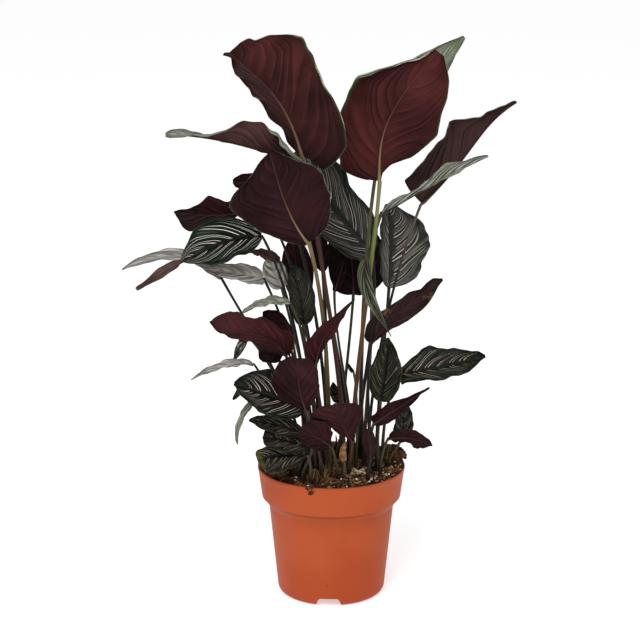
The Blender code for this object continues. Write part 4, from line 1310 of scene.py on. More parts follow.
LEAVES = [replace(leaf, turn=turn) for turn, leaf in enumerate((
    Leaf("crown_left", coat=Coat.EMBER, stalk=Stalk.RUSSET, root=(16, -10),
         rib=((-35, -50, 582), (-59, -56, 646), (-89, -66, 685), (-124, -82, 719)),
         faces=((0.14, 0.94, 0.31),), right=(1, 4, 22, 22, 37, 36, 41, 34, 36, 31, 20, 9, 17),
         left=(34, 56, 60, 60, 58, 60, 64, 70, 75, 62, 54, 34, 30), fold=(35, 5), cup=(0, 10), lobe=22,
         wave=(2.6, 3.6, 0.1), girth=2.9, lip=(0, 5)),
    Leaf("crown_right", stalk=Stalk.AMBER, root=(26, -5),
         rib=((60, -10, 546), (62, -14, 596), (80, -22, 645), (130, -42, 716)),
         faces=((0.24, 0.97, 0.08),), right=(30, 52, 53, 58, 60, 61, 59, 58, 56, 38, 24, 12, 6),
         left=(2, 4, 14, 38, 48, 54, 58, 62, 58, 52, 46, 34, 18), fold=(5, 5), cup=(5, 5),
         wave=(2.2, 4.2, 0.4), girth=3.0, lip=(11, 2), roll=(0.42, 1.02)),
    Leaf("crown_behind", coat=Coat.SAGE, stalk=Stalk.GREEN, root=(38, 20),
         rib=((61, 34, 578), (106, 58, 643), (171, 88, 715)), faces=((0.4, -0.92, 0.06),),
         right=(15, 23, 26, 24, 19, 11, 5), left=(28, 42, 47, 44, 34, 21, 9), fold=(5, 5), cup=(5, 5),
         wave=(2.0, 4.0, 0.7), girth=2.8, lip=(0, 4)),
    Leaf("upper_left", coat=Coat.ASH, stalk=Stalk.DARK, root=(-8, -8),
         rib=((-37, -8, 569), (-98, -44, 596), (-154, -75, 614), (-202, -90, 619)),
         faces=((0.1, 0.75, 0.65), (0.05, 0.65, 0.75), (0, 0.6, 0.8), (0, -0.1, 1), (0, -0.7, 0.7)),
         right=(3, 3, 4, 4, 4, 4, 4, 5, 7, 13, 12, 7, 4),
         left=(4, 10, 17, 26, 38, 48, 40, 30, 22, 12, 9, 6, 4), fold=(15, 15), wave=(2.0, 3.4, 0.2),
         girth=2.6, lip=(0, 13), roll=(0.0, 0.36)),
    Leaf("right_blade", coat=Coat.PLUM, stalk=Stalk.TAUPE, root=(48, 8),
         rib=((114, 40, 506), (166, 50, 562), (198, 60, 602), (238, 74, 633)),
         faces=((-0.33, 0.94, 0.07),), right=(38, 38, 40, 40, 39, 39, 44, 30, 18, 12, 8, 6, 4),
         left=(18, 26, 32, 36, 39, 40, 38, 34, 26, 18, 12, 8, 4), fold=(5, 72), cup=(10, 0),
         wave=(2.2, 4.0, 0.6), lip=(3, 0)),
    Leaf("right_folded", coat=Coat.FOLDED, root=(40, 14),
         rib=((63, 18, 500), (105, 15, 525), (149, 10, 551), (197, 0, 577)), faces=((-0.2, -0.6, 0.8),),
         right=(3, 5, 7, 7, 6, 5, 9, 16, 20, 17, 10, 5, 3),
         left=(3, 6, 8, 7, 6, 5, 9, 14, 15, 10, 7, 5, 3), fold=(42, 40), wave=(1.6, 4.0, 0.3), girth=2.6),
    Leaf("big_left", coat=Coat.WINE, stalk=Stalk.GOLD, root=(-3, -28),
         rib=((-28, -86, 484), (-55, -78, 529), (-76, -54, 594)), faces=((0.27, 0.95, -0.16),),
         right=(7, 12, 18, 26, 36, 46, 56, 66, 72, 59, 32, 18, 4),
         left=(30, 34, 41, 46, 50, 54, 55, 55, 54, 47, 30, 16, 8), fold=(5, 5), cup=(5, 5),
         wave=(2.4, 3.8, 0.5), girth=3.0, lip=(2, 2)),
    Leaf("left_striped", coat=Coat.VIVID, stalk=Stalk.DARK, root=(-28, -18),
         rib=((-86, -58, 487), (-131, -78, 484), (-185, -92, 462), (-241, -100, 429)),
         faces=((-0.2, -0.8, 0.55), (-0.2, -0.8, 0.5), (-0.1, -0.7, 0.6), (0.1, 0.6, 0.6),
                (0.1, 0.9, 0.2),),
         right=(10, 15, 21, 28, 33, 33, 30, 22, 18, 10, 6, 3, 3),
         left=(6, 14, 21, 26, 24, 28, 26, 22, 16, 9, 5, 3, 3), wave=(2.4, 3.2, 0.15)),
    Leaf("left_dark", coat=Coat.WINE, stalk=Stalk.DARK, root=(-15, 5),
         rib=((-87, -12, 517), (-136, -34, 510), (-196, -48, 517)), faces=((0, 0.75, 0.5),),
         right=(7, 7, 8, 8, 11, 14, 18, 24, 32, 38, 33, 16, 6),
         left=(2, 6, 10, 14, 18, 20, 22, 27, 28, 16, 8, 4, 1), wave=(1.8, 3.0, 0.8)),
    Leaf("left_peek", coat=Coat.WINE, stalk=Stalk.DARK, root=(-5, 12),
         rib=((-56, -12, 518), (-92, -15, 542), (-124, -18, 548)), faces=((0, 0.8, 0.6),),
         right=(10, 12, 15, 17, 18, 18, 18, 18, 18, 17, 15, 12, 7),
         left=(4, 6, 9, 12, 14, 16, 18, 18, 17, 13, 10, 7, 4), girth=2.4),
    Leaf("back_striped", coat=Coat.DUSK, stalk=Stalk.DARK, root=(35, 32),
         rib=((52, 35, 445), (8, 56, 493), (-51, 84, 566)), faces=((-0.2, -0.96, 0.22),),
         right=(11, 17, 26, 31, 36, 36, 34, 35, 42, 40, 33, 23, 16),
         left=(18, 22, 28, 30, 33, 35, 35, 36, 34, 31, 25, 16, 6), fold=(5, 5), cup=(5, 5),
         wave=(2.4, 4.2, 0.25), girth=2.5),
    Leaf("right_round", coat=Coat.SHEEN, stalk=Stalk.DARK, root=(60, 25),
         rib=((75, 60, 391), (77, 78, 445), (73, 94, 497)), faces=((0.4, -0.87, 0.29),),
         right=(8, 25, 36, 41, 44, 50, 54, 54, 48, 42, 28, 16, 8), left=(12, 18, 22, 22, 20, 16, 9),
         fold=(5, 28), cup=(10, 0), wave=(2.4, 3.8, 0.9), girth=2.4),
    Leaf("shade_back", coat=Coat.SHADE, stalk=Stalk.FERN, root=(12, 32),
         rib=((29, 78, 377), (27, 104, 416), (18, 128, 456)), faces=((-0.02, 0.82, -0.57),),
         right=(19, 27, 31, 32, 30, 27, 21), left=(19, 33, 46, 49, 48, 43, 33), corners=True, fold=(5, 5),
         cup=(10, 10), wave=(1.6, 3.0, 0.5), girth=2.2),
    Leaf("far_left", coat=Coat.PALE, stalk=Stalk.DARK, root=(-38, -2),
         rib=((-138, -30, 426), (-191, -44, 459), (-261, -66, 446)), faces=((0, -0.35, 0.94),),
         right=(9, 14, 16, 15, 12, 8, 4), corners=True),
    Leaf("pale_fold", coat=Coat.PALE, stalk=Stalk.DARK, root=(-30, 2),
         rib=((-85, -42, 429), (-114, -54, 439), (-156, -62, 445)), faces=((0, -0.6, 0.8),),
         right=(10, 14, 16, 15, 13, 10, 6)),
    Leaf("pale_upright", coat=Coat.PALE, root=(-22, 10),
         rib=((-63, -12, 409), (-72, -10, 430), (-79, -6, 448)), faces=(NEAR,),
         right=(8, 12, 14, 15, 14, 11, 7)),
    Leaf("brown_small", coat=Coat.PALE, root=(-20, -2),
         rib=((-66, -24, 447), (-85, -30, 458), (-104, -36, 462)), faces=((0, 0.8, 0.6),),
         right=(5, 8, 9, 9, 7, 5, 3), girth=1.6),
    Leaf("inner_hanging", coat=Coat.SHADE, root=(-14, -32),
         rib=((-36, -46, 370), (-40, -52, 411), (-49, -56, 449)), faces=((0.32, -0.95, -0.05),),
         right=(10, 15, 18, 19, 17, 13, 8), left=(8, 12, 14, 15, 14, 11, 6)),
    Leaf("thin_left", coat=Coat.FOLDED, root=(-21, -38),
         rib=((-52, -67, 405), (-84, -76, 406), (-111, -86, 396)), faces=((0, -0.05, 1),),
         right=(12, 17, 18, 14, 10, 7, 4)),
    Leaf("long_burgundy", coat=Coat.ROSE, stalk=Stalk.SHADE, root=(-27, -40),
         rib=((-57, -58, 333), (-81, -80, 364), (-115, -102, 379), (-148, -125, 398)),
         faces=((0, 0.9, 0.5),), right=(6, 14, 20, 22, 22, 19, 20, 16, 18, 14, 11, 6, 4),
         left=(7, 14, 21, 24, 23, 26, 28, 27, 26, 28, 28, 27, 18), fold=(5, 5), wave=(2.2, 3.0, 0.35)),
    Leaf("dark_behind", coat=Coat.WINE, root=(-32, -27),
         rib=((-50, -41, 354), (-65, -47, 380), (-87, -54, 388)), faces=((-0.28, 0.96, 0.06),),
         right=(5, 8, 11, 13, 14, 15, 16, 15, 14, 14, 14, 13, 12),
         left=(2, 3, 4, 4, 4, 5, 6, 6, 6, 4, 4, 3, 2), fold=(5, 5)),
    Leaf("low_tip", coat=Coat.WINE, root=(-36, -18),
         rib=((-60, -42, 343), (-75, -48, 338), (-89, -55, 326)), right=(8, 14, 18, 19, 17, 12, 7),
         left=(9, 16, 20, 20, 17, 12, 7), fold=(5, 5), girth=1.6),
    Leaf("thin_low", coat=Coat.PALE, stalk=Stalk.DARK, root=(-48, -20),
         rib=((-98, -52, 321), (-132, -66, 324), (-177, -78, 308)), faces=((0, -0.15, 0.98),),
         right=(6, 9, 11, 11, 9, 6, 3), girth=1.6),
    Leaf("thin_drop", coat=Coat.SHEEN, root=(-44, -8),
         rib=((-107, -36, 354), (-116, -34, 337), (-124, -36, 319)), faces=(NEAR,),
         right=(3, 5, 6, 6, 5, 3, 2), fold=(20, 20), girth=1.3),
    Leaf("low_striped", coat=Coat.CRISP, root=(-20, -47),
         rib=((-35, -58, 265), (-79, -84, 289), (-122, -100, 309)), faces=((-0.2, -0.8, 0.6),),
         right=(4, 9, 15, 21, 27, 31, 34, 32, 28, 24, 18, 12, 6),
         left=(7, 15, 20, 24, 26, 26, 26, 26, 22, 16, 12, 7, 2), wave=(1.8, 3.2, 0.7), girth=1.8),
    Leaf("round_burgundy", coat=Coat.BERRY, stalk=Stalk.BROWN, root=(-12, -55),
         rib=((-31, -84, 269), (-40, -104, 308), (-42, -122, 350)), faces=((0.26, 0.84, 0.47),),
         right=(8, 16, 25, 33, 38, 40, 39, 35, 32, 28, 24, 16, 10),
         left=(3, 6, 10, 15, 20, 24, 25, 26, 26, 25, 23, 21, 18), fold=(5, 5), cup=(10, 10),
         wave=(1.6, 3.0, 0.45), girth=1.8),
    Leaf("thin_hanging", coat=Coat.ASH, root=(-52, -38),
         rib=((-93, -62, 279), (-113, -72, 253), (-119, -74, 221)), faces=((-0.6, -0.8, 0.3),),
         right=(4, 6, 6, 6, 5, 4, 2), fold=(30, 40), girth=1.4),
    Leaf("rim_upper", coat=Coat.DENSE, root=(-42, -50),
         rib=((-30, -62, 232), (-71, -76, 249), (-104, -84, 257)), faces=((0, -0.7, 0.7),),
         right=(2, 5, 8, 11, 13, 14, 14, 13, 10, 8, 6, 4, 2),
         left=(2, 8, 14, 14, 16, 16, 14, 14, 12, 10, 6, 4, 2), girth=1.7),
    Leaf("rim_middle", coat=Coat.DENSE, root=(-37, -62),
         rib=((-25, -68, 216), (-59, -78, 229), (-87, -85, 235)), faces=((0, -0.7, 0.7),),
         right=(1, 3, 6, 9, 12, 14, 15, 14, 14, 13, 11, 10, 2),
         left=(1, 4, 10, 14, 16, 17, 18, 18, 18, 18, 16, 13, 10), girth=1.7),
    Leaf("rim_lower", coat=Coat.LIMED, root=(-26, -70),
         rib=((-30, -72, 206), (-65, -82, 210), (-94, -88, 206)), faces=((0, -0.7, 0.7),),
         right=(0, 2, 5, 8, 12, 14, 16, 16, 16, 14, 13, 12, 10),
         left=(2, 6, 12, 16, 20, 22, 24, 26, 26, 26, 22, 14, 9), girth=1.7),
    Leaf("pointed_burgundy", coat=Coat.ROSE, stalk=Stalk.BROWN, root=(-6, -44),
         rib=((-20, -58, 320), (-8, -66, 364), (29, -72, 412)), faces=((-0.27, 0.92, 0.29),),
         right=(0, 6, 14, 18, 20, 17, 14, 10, 6, 4, 2, 1, 1),
         left=(2, 4, 5, 6, 8, 10, 12, 12, 10, 8, 4, 2, 1), fold=(5, 5), cup=(5, 5),
         wave=(1.4, 3.0, 0.75)),
    Leaf("centre_hanging", coat=Coat.FADED, stalk=Stalk.BROWN, root=(42, -8),
         rib=((44, -20, 450), (43, -28, 417), (57, -45, 387), (74, -72, 362)), faces=(NEAR,),
         right=(9, 13, 14, 12, 8, 4, 1), corners=True, fold=(50, 50), girth=2.4),
    Leaf("dark_right", coat=Coat.UMBER, stalk=Stalk.DARK, root=(50, -15),
         rib=((50, -28, 339), (86, -42, 386), (139, -58, 433)), faces=((0.33, 0.94, -0.01),),
         right=(12, 16, 20, 21, 20, 16, 14, 12, 12, 6, 8, 8, 3),
         left=(1, 2, 4, 6, 8, 12, 15, 16, 16, 14, 9, 4, 2), fold=(5, 5), cup=(5, 5),
         wave=(1.8, 3.2, 0.1)),
    Leaf("green_right", coat=Coat.DIM, root=(58, -28),
         rib=((62, -48, 270), (67, -38, 309), (71, -22, 348)), faces=((-0.35, -0.87, 0.33),),
         right=(13, 19, 24, 25, 20, 13, 6), left=(9, 15, 19, 19, 15, 10, 4), wave=(1.6, 3.2, 0.3)),
    Leaf("right_striped", root=(66, -8), rib=((87, -18, 299), (140, -24, 309), (196, -30, 325)),
         faces=((0, -0.8, 0.6),), right=(18, 16, 15, 16, 16, 18, 20, 18, 18, 16, 12, 5, 2),
         left=(6, 10, 16, 22, 28, 30, 26, 22, 20, 16, 12, 9, 4), fold=(15, 15), wave=(2.0, 3.4, 0.6)),
    Leaf("low_right", coat=Coat.WINE, root=(48, -42),
         rib=((53, -60, 244), (83, -74, 270), (123, -84, 300)), faces=((0.32, 0.95, 0.01),),
         right=(10, 10, 10, 12, 11, 12, 10, 8, 5, 4, 3, 2, 2),
         left=(4, 6, 8, 10, 10, 10, 8, 7, 6, 4, 1, 1, 1), fold=(5, 5), cup=(5, 5), wave=(1.4, 3.0, 0.15)),
    Leaf("small_striped", coat=Coat.DENSE, root=(72, -18),
         rib=((89, -28, 212), (92, -30, 237), (93, -32, 263)), faces=((0.4, -0.91, -0.1),),
         right=(8, 12, 14, 14, 12, 9, 6), girth=1.6),
    Leaf("small_right", coat=Coat.WINE, root=(62, -38),
         rib=((72, -50, 222), (99, -64, 228), (128, -74, 221)), faces=((0, 0.8, 0.6),),
         right=(1, 5, 11, 14, 18, 18, 17, 16, 16, 12, 8, 4, 1),
         left=(14, 13, 12, 13, 14, 17, 22, 24, 22, 18, 13, 6, 4), fold=(5, 5), girth=1.5),
    Leaf("low_centre", coat=Coat.BERRY, stalk=Stalk.BROWN, root=(22, -40),
         rib=((26, -52, 218), (13, -72, 248), (0, -96, 282)), faces=((-0.16, 0.84, 0.53),),
         right=(2, 3, 4, 6, 11, 14, 17, 22, 28, 33, 32, 27, 16),
         left=(3, 6, 9, 13, 18, 23, 29, 32, 32, 28, 22, 12, 6), fold=(5, 5), cup=(10, 10),
         wave=(1.8, 3.4, 0.2), girth=1.9),
    Leaf("low_front", coat=Coat.WINE, root=(8, -58),
         rib=((0, -70, 217), (-20, -80, 234), (-42, -88, 240)),
         right=(12, 16, 18, 19, 19, 19, 18, 18, 16, 14, 12, 8, 4),
         left=(2, 4, 6, 16, 18, 21, 22, 21, 20, 18, 14, 10, 6), fold=(5, 5), cup=(10, 10), girth=1.6),
    Leaf("sprout", stalk=Stalk.GREEN, root=(32, -20),
         rib=((28, -20, 301), (23, -24, 308), (19, -28, 317)), faces=(NEAR,), right=(2, 3, 3, 3, 3, 2, 1),
         fold=(30, 30), wave=(0.1, 2.0, 0.0), girth=1.5),
    Leaf("dry_husk", coat=Coat.HUSK, stalk=Stalk.BROWN, root=(16, -60),
         rib=((16, -60, 194), (13, -62, 208), (18, -60, 220)), faces=((0.3, -0.9, 0.1),),
         right=(4, 5, 6, 6, 5, 4, 3), left=(3, 4, 5, 5, 4, 3, 2), fold=(35, 35), wave=(0.5, 2.5, 0.3),
         girth=1.5),
    Leaf("dark_sheath", coat=Coat.SHEATH, stalk=Stalk.DARK, root=(46, -60),
         rib=((49, -61, 199), (48, -63, 220), (45, -64, 240)), right=(4, 6, 8, 9, 9, 7, 4),
         left=(5, 7, 9, 9, 8, 7, 4), fold=(20, 20), wave=(0.6, 2.5, 0.1), girth=1.6),
    Leaf("shade_left", coat=Coat.SHADE, stalk=Stalk.DARK, root=(-8, 40),
         rib=((-40, 44, 379), (-45, 54, 417), (-50, 62, 458)), right=(8, 14, 18, 20, 18, 14, 8),
         left=(8, 16, 20, 22, 20, 16, 10), fold=(5, 5), cup=(5, 5)),
    Leaf("inner_small", coat=Coat.DIM, stalk=Stalk.DARK, root=(14, -2),
         rib=((8, -8, 256), (4, -10, 271), (2, -12, 285)), faces=(NEAR,), right=(3, 5, 7, 7, 6, 4, 2),
         left=(3, 5, 6, 6, 5, 4, 2), girth=1.5),
    Leaf("shade_mid", coat=Coat.SHADE, stalk=Stalk.DARK, root=(24, 14),
         rib=((-10, 60, 413), (-13, 68, 440), (-16, 76, 470)), right=(5, 9, 12, 14, 13, 10, 6),
         left=(4, 7, 9, 10, 9, 8, 5), fold=(6, 6), girth=2.6),
    Leaf("shade_inner", coat=Coat.SHADE, stalk=Stalk.BROWN, root=(29, 26),
         rib=((4, 64, 385), (10, 68, 405), (16, 72, 426)), right=(3, 4, 6, 6, 5, 4, 2),
         left=(3, 5, 7, 8, 7, 5, 3), fold=(6, 6), girth=1.9),
    Leaf("tip_small", stalk=Stalk.DARK, root=(-56, -26),
         rib=((-107, -44, 294), (-116, -47, 284), (-125, -50, 273)), faces=(NEAR,),
         right=(3, 4, 5, 5, 4, 3, 2), fold=(20, 20), girth=1.3),
))]


# Pot


@dataclass
class Pot:
    """Nursery pot: a thin moulded shell with a rolled rim, a wide band and a notched foot."""

    steps: int = 180
    notches: int = 3
    notch_width: float = 0.0360
    notch_top: float = 0.0108
    notch_turn: float = math.radians(-3.0)
    drains: int = 6
    drain_radius: float = 0.0040
    drain_ring: float = 0.0440
    foot_width: float = 0.0030
    pad_radius: float = 0.0300

    def profile(self) -> list[Pair]:
        """Profile from the inner floor over the rim and down to the middle of the base.

        Returns:
            Radius and height of each point, in metres.
        """
        floor = float(inner_radius(FLOOR_Z))
        inside = [(0.0, FLOOR_Z), (0.03, FLOOR_Z), (floor - 0.005, FLOOR_Z)]
        inside += [(floor - 0.0015, FLOOR_Z + 0.001)]
        heights = (FLOOR_Z + 0.004, *np.linspace(0.03, NECK_Z, 5), *np.linspace(BAND_Z, RIM_Z - 0.003, 4))
        inside += [(float(inner_radius(z)), z) for z in heights]
        inner, outer = RIM_RADIUS - WALL, RIM_RADIUS
        skirt, low = outer - 0.0006, RIM_Z - 0.0042
        lip = [(inner, RIM_Z - 0.0009), (inner + 0.0003, RIM_Z - 0.0003), (inner + 0.0009, RIM_Z)]
        lip += [(outer - 0.0008, RIM_Z), (outer - 0.0002, RIM_Z - 0.0003), (outer, RIM_Z - 0.0009)]
        lip += [(outer, RIM_Z - 0.0030), (skirt, low)]
        band = [(skirt - (skirt - BAND_RADIUS) * u, low - (low - BAND_Z) * u)
                for u in (0.3, 0.6, 0.9, 0.985)]
        band += [(BAND_RADIUS - 0.0002, BAND_Z + 0.0002), (BAND_RADIUS - 0.0008, BAND_Z - 0.0003)]
        neck = [(BAND_RADIUS - 0.0030, BAND_Z - 0.0026), (NECK_RADIUS + 0.0016, NECK_Z + 0.0018)]
        neck += [(NECK_RADIUS + 0.0004, NECK_Z), (NECK_RADIUS - 0.0004, NECK_Z - 0.0030)]
        wide, high = neck[-1]
        body = [(FOOT_RADIUS + (wide - FOOT_RADIUS) * u, FOOT_ROUND + (high - FOOT_ROUND) * u)
                for u in (0.75, 0.5, 0.25, 0.05)]
        foot = [(FOOT_RADIUS - 0.8 * FOOT_ROUND * (1.0 - math.cos(turn)),
                 FOOT_ROUND * (1.0 - math.sin(turn))) for turn in np.linspace(0.0, math.pi / 2.0, 9)]
        edge, pad = foot[-1][0] - self.foot_width, self.pad_radius
        under = [(edge, 0.0), (edge - 0.001, RECESS_Z), (pad + 0.002, RECESS_Z), (pad + 0.0004, 0.0004)]
        return inside + lip + band + neck + body + foot + under + [(pad - 0.0006, 0.0), (0.0, 0.0)]

    def shell(self) -> Object:
        """Turn the profile about Z into a closed shell.

        Returns:
            The pot without its notches and holes.
        """
        profile = self.profile()
        shape = bmesh.new()
        rings = []
        for turn in (TURN * step / self.steps for step in range(self.steps)):
            rings.append([shape.verts.new((r * math.cos(turn), r * math.sin(turn), z))
                          for r, z in profile])
        for one, two in zip(rings, rings[1:] + rings[:1]):
            for i in range(len(profile) - 1):
                shape.faces.new((one[i], one[i + 1], two[i + 1], two[i]))
        bmesh.ops.remove_doubles(shape, verts=shape.verts, dist=0.00002)
        bmesh.ops.recalc_face_normals(shape, faces=shape.faces)
        return shaped("moulded_pot", shape)

    def cuts(self) -> Object:
        """Shapes of the notches in the foot and the holes in the floor.

        Returns:
            One object with all of them.
        """
        shapes = bmesh.new()
        # Half a notch's outline, in shares of its width and height; it starts below the foot
        half = [(0.56, -0.3), (0.52, -0.02), (0.475, 0.06), (0.44, 0.20), (0.415, 0.45), (0.385, 0.74),
                (0.35, 0.90), (0.30, 0.98), (0.20, 1.0)]
        outline = [(side * a * self.notch_width, u * self.notch_top)
                   for side, points in ((1, half), (-1, reversed(half))) for a, u in points]
        for i in range(self.notches):
            turn = self.notch_turn + TURN * i / self.notches
            near, far = ([shapes.verts.new((math.cos(turn) * a + math.sin(turn) * out,
                                            math.sin(turn) * a - math.cos(turn) * out, z))
                          for a, z in outline] for out in (FOOT_RADIUS - 0.013, FOOT_RADIUS + 0.012))
            shapes.faces.new(near)
            shapes.faces.new(list(reversed(far)))
            bridge(shapes, near, far)
        for i in range(self.drains):
            turn = self.notch_turn + math.pi * (2 * i + 1) / self.drains
            before = set(shapes.verts)
            bmesh.ops.create_cone(shapes, cap_ends=True, segments=24, radius1=self.drain_radius,
                                  radius2=self.drain_radius, depth=0.012)
            move = Vector((math.sin(turn) * self.drain_ring, -math.cos(turn) * self.drain_ring, FLOOR_Z))
            bmesh.ops.translate(shapes, verts=list(set(shapes.verts) - before), vec=move)
        bmesh.ops.recalc_face_normals(shapes, faces=shapes.faces)
        return shaped("foot_cuts", shapes)

    def build(self, paints: Paints) -> Object:
        """Make the pot and put it in place of its solid.

        Args:
            paints: Source of the materials.

        Returns:
            The finished piece.
        """
        pot, cutter = self.shell(), self.cuts()
        cut = pot.modifiers.new("Foot", "BOOLEAN")
        cut.operation = "DIFFERENCE"
        cut.object = cutter
        baked(pot)
        remove(cutter)
        pot.data.materials.clear()
        pot.data.materials.append(paints.get(PotFinish()))
        pot.data.shade_smooth()
        pot.data.set_sharp_from_angle(angle=math.radians(38.0))
        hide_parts("pot")
        ride(pot)
        return pot


# Soil


def strewn_tree() -> Tree:
    """Tree that strews lumps over a surface, each turned, sized and flattened at random.

    Returns:
        The tree.
    """
    tree = Tree("strewn_lumps", {
        "Density": ("Float", 1000.0), "Seed": ("Int", 1), "Small": ("Float", 0.5), "Large": ("Float", 1.0),
        "Shape": ("Vector", (1.0, 1.0, 1.0)), "Lift": ("Float", 0.0), "Lump": ("Object", None),
        "Material": ("Material", None)})
    start = tree.start
    points = tree.node("GeometryNodeDistributePointsOnFaces", {
        "Mesh": start["Geometry"], "Density": start["Density"], "Seed": start["Seed"]},
        distribute_method="RANDOM")
    lift = tree.node("ShaderNodeVectorMath", {0: points.outputs["Normal"], "Scale": start["Lift"]},
                     operation="SCALE")
    moved = tree.node("GeometryNodeSetPosition", {"Geometry": points, "Offset": lift})
    lump = tree.node("GeometryNodeObjectInfo", {"Object": start["Lump"]})
    spin = tree.node("FunctionNodeRandomValue", {
        0: (-0.5, -0.5, 0.0), 1: (0.5, 0.5, 6.283), "Seed": start["Seed"]}, data_type="FLOAT_VECTOR")
    size = tree.node("FunctionNodeRandomValue", {
        2: start["Small"], 3: start["Large"], "Seed": start["Seed"]}, data_type="FLOAT")
    shape = tree.node("ShaderNodeVectorMath", {0: start["Shape"], "Scale": size.outputs[1]},
                      operation="SCALE")
    tree.finish(tree.node("GeometryNodeInstanceOnPoints", {
        "Points": moved, "Instance": lump.outputs["Geometry"], "Rotation": spin, "Scale": shape}))
    return tree


def lump(name: str, seed: int, rough: float) -> Object:
    """An uneven lump one unit across, for strewing.

    Args:
        name: The object's name.
        seed: Seed of its unevenness.
        rough: How uneven it is, as a share of its size.

    Returns:
        The object, in the scene.
    """
    shape = bmesh.new()
    bmesh.ops.create_icosphere(shape, subdivisions=2, radius=0.5)
    draw = random.Random(seed)
    for vert in shape.verts:
        vert.co *= 1.0 + rough * (draw.random() - 0.5)
    return shaped(name, shape)


@dataclass(frozen=True)
class Strewn:
    """One kind of lump that lies on the soil."""

    name: str
    finish: EarthFinish
    density: float
    small: float
    large: float
    shape: Vec
    seed: int
    rough: float
    reach: float = 0.090
    centre: Pair = (0.0, 0.0)
    upward: float = 0.3
    lift: float = 0.2

    def build(self, tree: Tree, ground: Object, paints: Paints) -> Object:
        """Strew the lumps over the ground where it faces up, within reach of the centre.

        Args:
            tree: The tree that strews them.
            ground: The soil that they lie on.
            paints: Source of the materials.

        Returns:
            The finished piece.
        """
        shape = bmesh.new()
        shape.from_mesh(ground.data)
        middle = Vector(self.centre)
        spare = [f for f in shape.faces
                 if f.normal.z < self.upward or (f.calc_center_median().xy - middle).length > self.reach]
        bmesh.ops.delete(shape, geom=spare, context="FACES")
        piece = shaped(self.name, shape)
        seedling = lump(self.name + "_lump", self.seed, self.rough)
        tree.apply(piece, Density=self.density, Seed=self.seed, Small=self.small, Large=self.large,
                   Shape=self.shape, Lift=self.small * self.lift, Lump=seedling,
                   Material=paints.get(self.finish))
        remove(seedling)
        piece.data.shade_smooth()
        return piece


@dataclass(frozen=True)
class Ledge:
    """A bent strip beside the rim that crumbs cling to; rows give its reach and height."""

    turn: float
    half: float
    rows: tuple[Pair, ...]

    def strip(self) -> Object:
        """Make the strip, facing outwards.

        Returns:
            The object, in the scene.
        """
        shape = bmesh.new()
        grid = []
        for k, (reach, z) in enumerate(self.rows):
            narrow = self.half * (1.0 - 0.5 * k / len(self.rows))
            turns = [self.turn + a * narrow for a in (-1.0, -0.5, 0.0, 0.5, 1.0)]
            grid.append([shape.verts.new((reach * math.sin(turn), -reach * math.cos(turn), z))
                         for turn in turns])
        for high, low in zip(grid, grid[1:]):
            for k in range(len(low) - 1):
                shape.faces.new((low[k], low[k + 1], high[k + 1], high[k]))
        return shaped("crumb_strip", shape)


@dataclass
class Stubs:
    """Short cut or withered petiole stubs that stand in the soil between the stems.

    A group is its middle and spread in millimetres, how many stand in it, and how much taller and
    stouter they are than the plain ones.
    """

    seed: int = 5
    reach: float = 0.080
    depth: float = 0.003
    tall: Pair = (0.008, 0.026)
    girth: Pair = (0.0006, 0.0015)
    finish: StalkFinish = StalkFinish("stub_olive_brown", (38, 24, 18), (104, 82, 48), (96, 60, 40))
    groups: tuple[tuple[float, float, float, int, float, float], ...] = (
        (-22.0, -62.0, 13.0, 20, 1.0, 1.0), (-4.0, -52.0, 12.0, 14, 1.1, 1.0),
        (30.0, -18.0, 14.0, 10, 1.0, 1.0), (60.0, -6.0, 12.0, 6, 1.0, 1.0),
        (-44.0, -40.0, 12.0, 8, 1.0, 1.0), (-6.0, 48.0, 30.0, 30, 1.35, 1.8),
        (32.0, 38.0, 24.0, 22, 1.3, 1.8))

    def build(self, tree: Tree, paints: Paints) -> Object:
        """Stand the stubs in their groups.

        Args:
            tree: The tree that sweeps them.
            paints: Source of the materials.

        Returns:
            The finished piece.
        """
        draw = random.Random(self.seed)
        points, edges, girths, places = [], [], [], []
        for x, y, spread, count, stretch, stout in self.groups:
            for _ in range(count):
                foot = Vector((draw.gauss(x, spread * 0.5), draw.gauss(y, spread * 0.5), 0.0)) * MM
                foot *= min(1.0, self.reach / foot.length)
                foot.z = float(soil_height(foot.x, foot.y)) - self.depth
                tall = draw.uniform(*self.tall) * stretch
                lean = Vector((draw.uniform(-0.4, 0.4), draw.uniform(-0.3, 0.3), 1.0)) * tall
                side = Vector((draw.uniform(-1.0, 1.0), draw.uniform(-1.0, 1.0), 0.0)) * tall * 0.12
                girth = draw.uniform(*self.girth) * stout
                shade = draw.uniform(0.0, 0.5) / stout ** 2
                for k in range(6):
                    u = k / 5.0
                    if k:
                        edges.append((len(points) - 1, len(points)))
                    points.append(foot + lean * u + side * math.sin(u * 3.0))
                    girths.append(girth * (1.0 - 0.55 * u ** 3) * (1.0 + 0.25 * draw.random()))
                    places.append(shade + 0.4 * u / stout)
        piece = path_piece("petiole_stubs", points, edges, girths, places)
        tree.apply(piece, Sides=7, Material=paints.get(self.finish))
        piece.data.shade_smooth()
        return piece


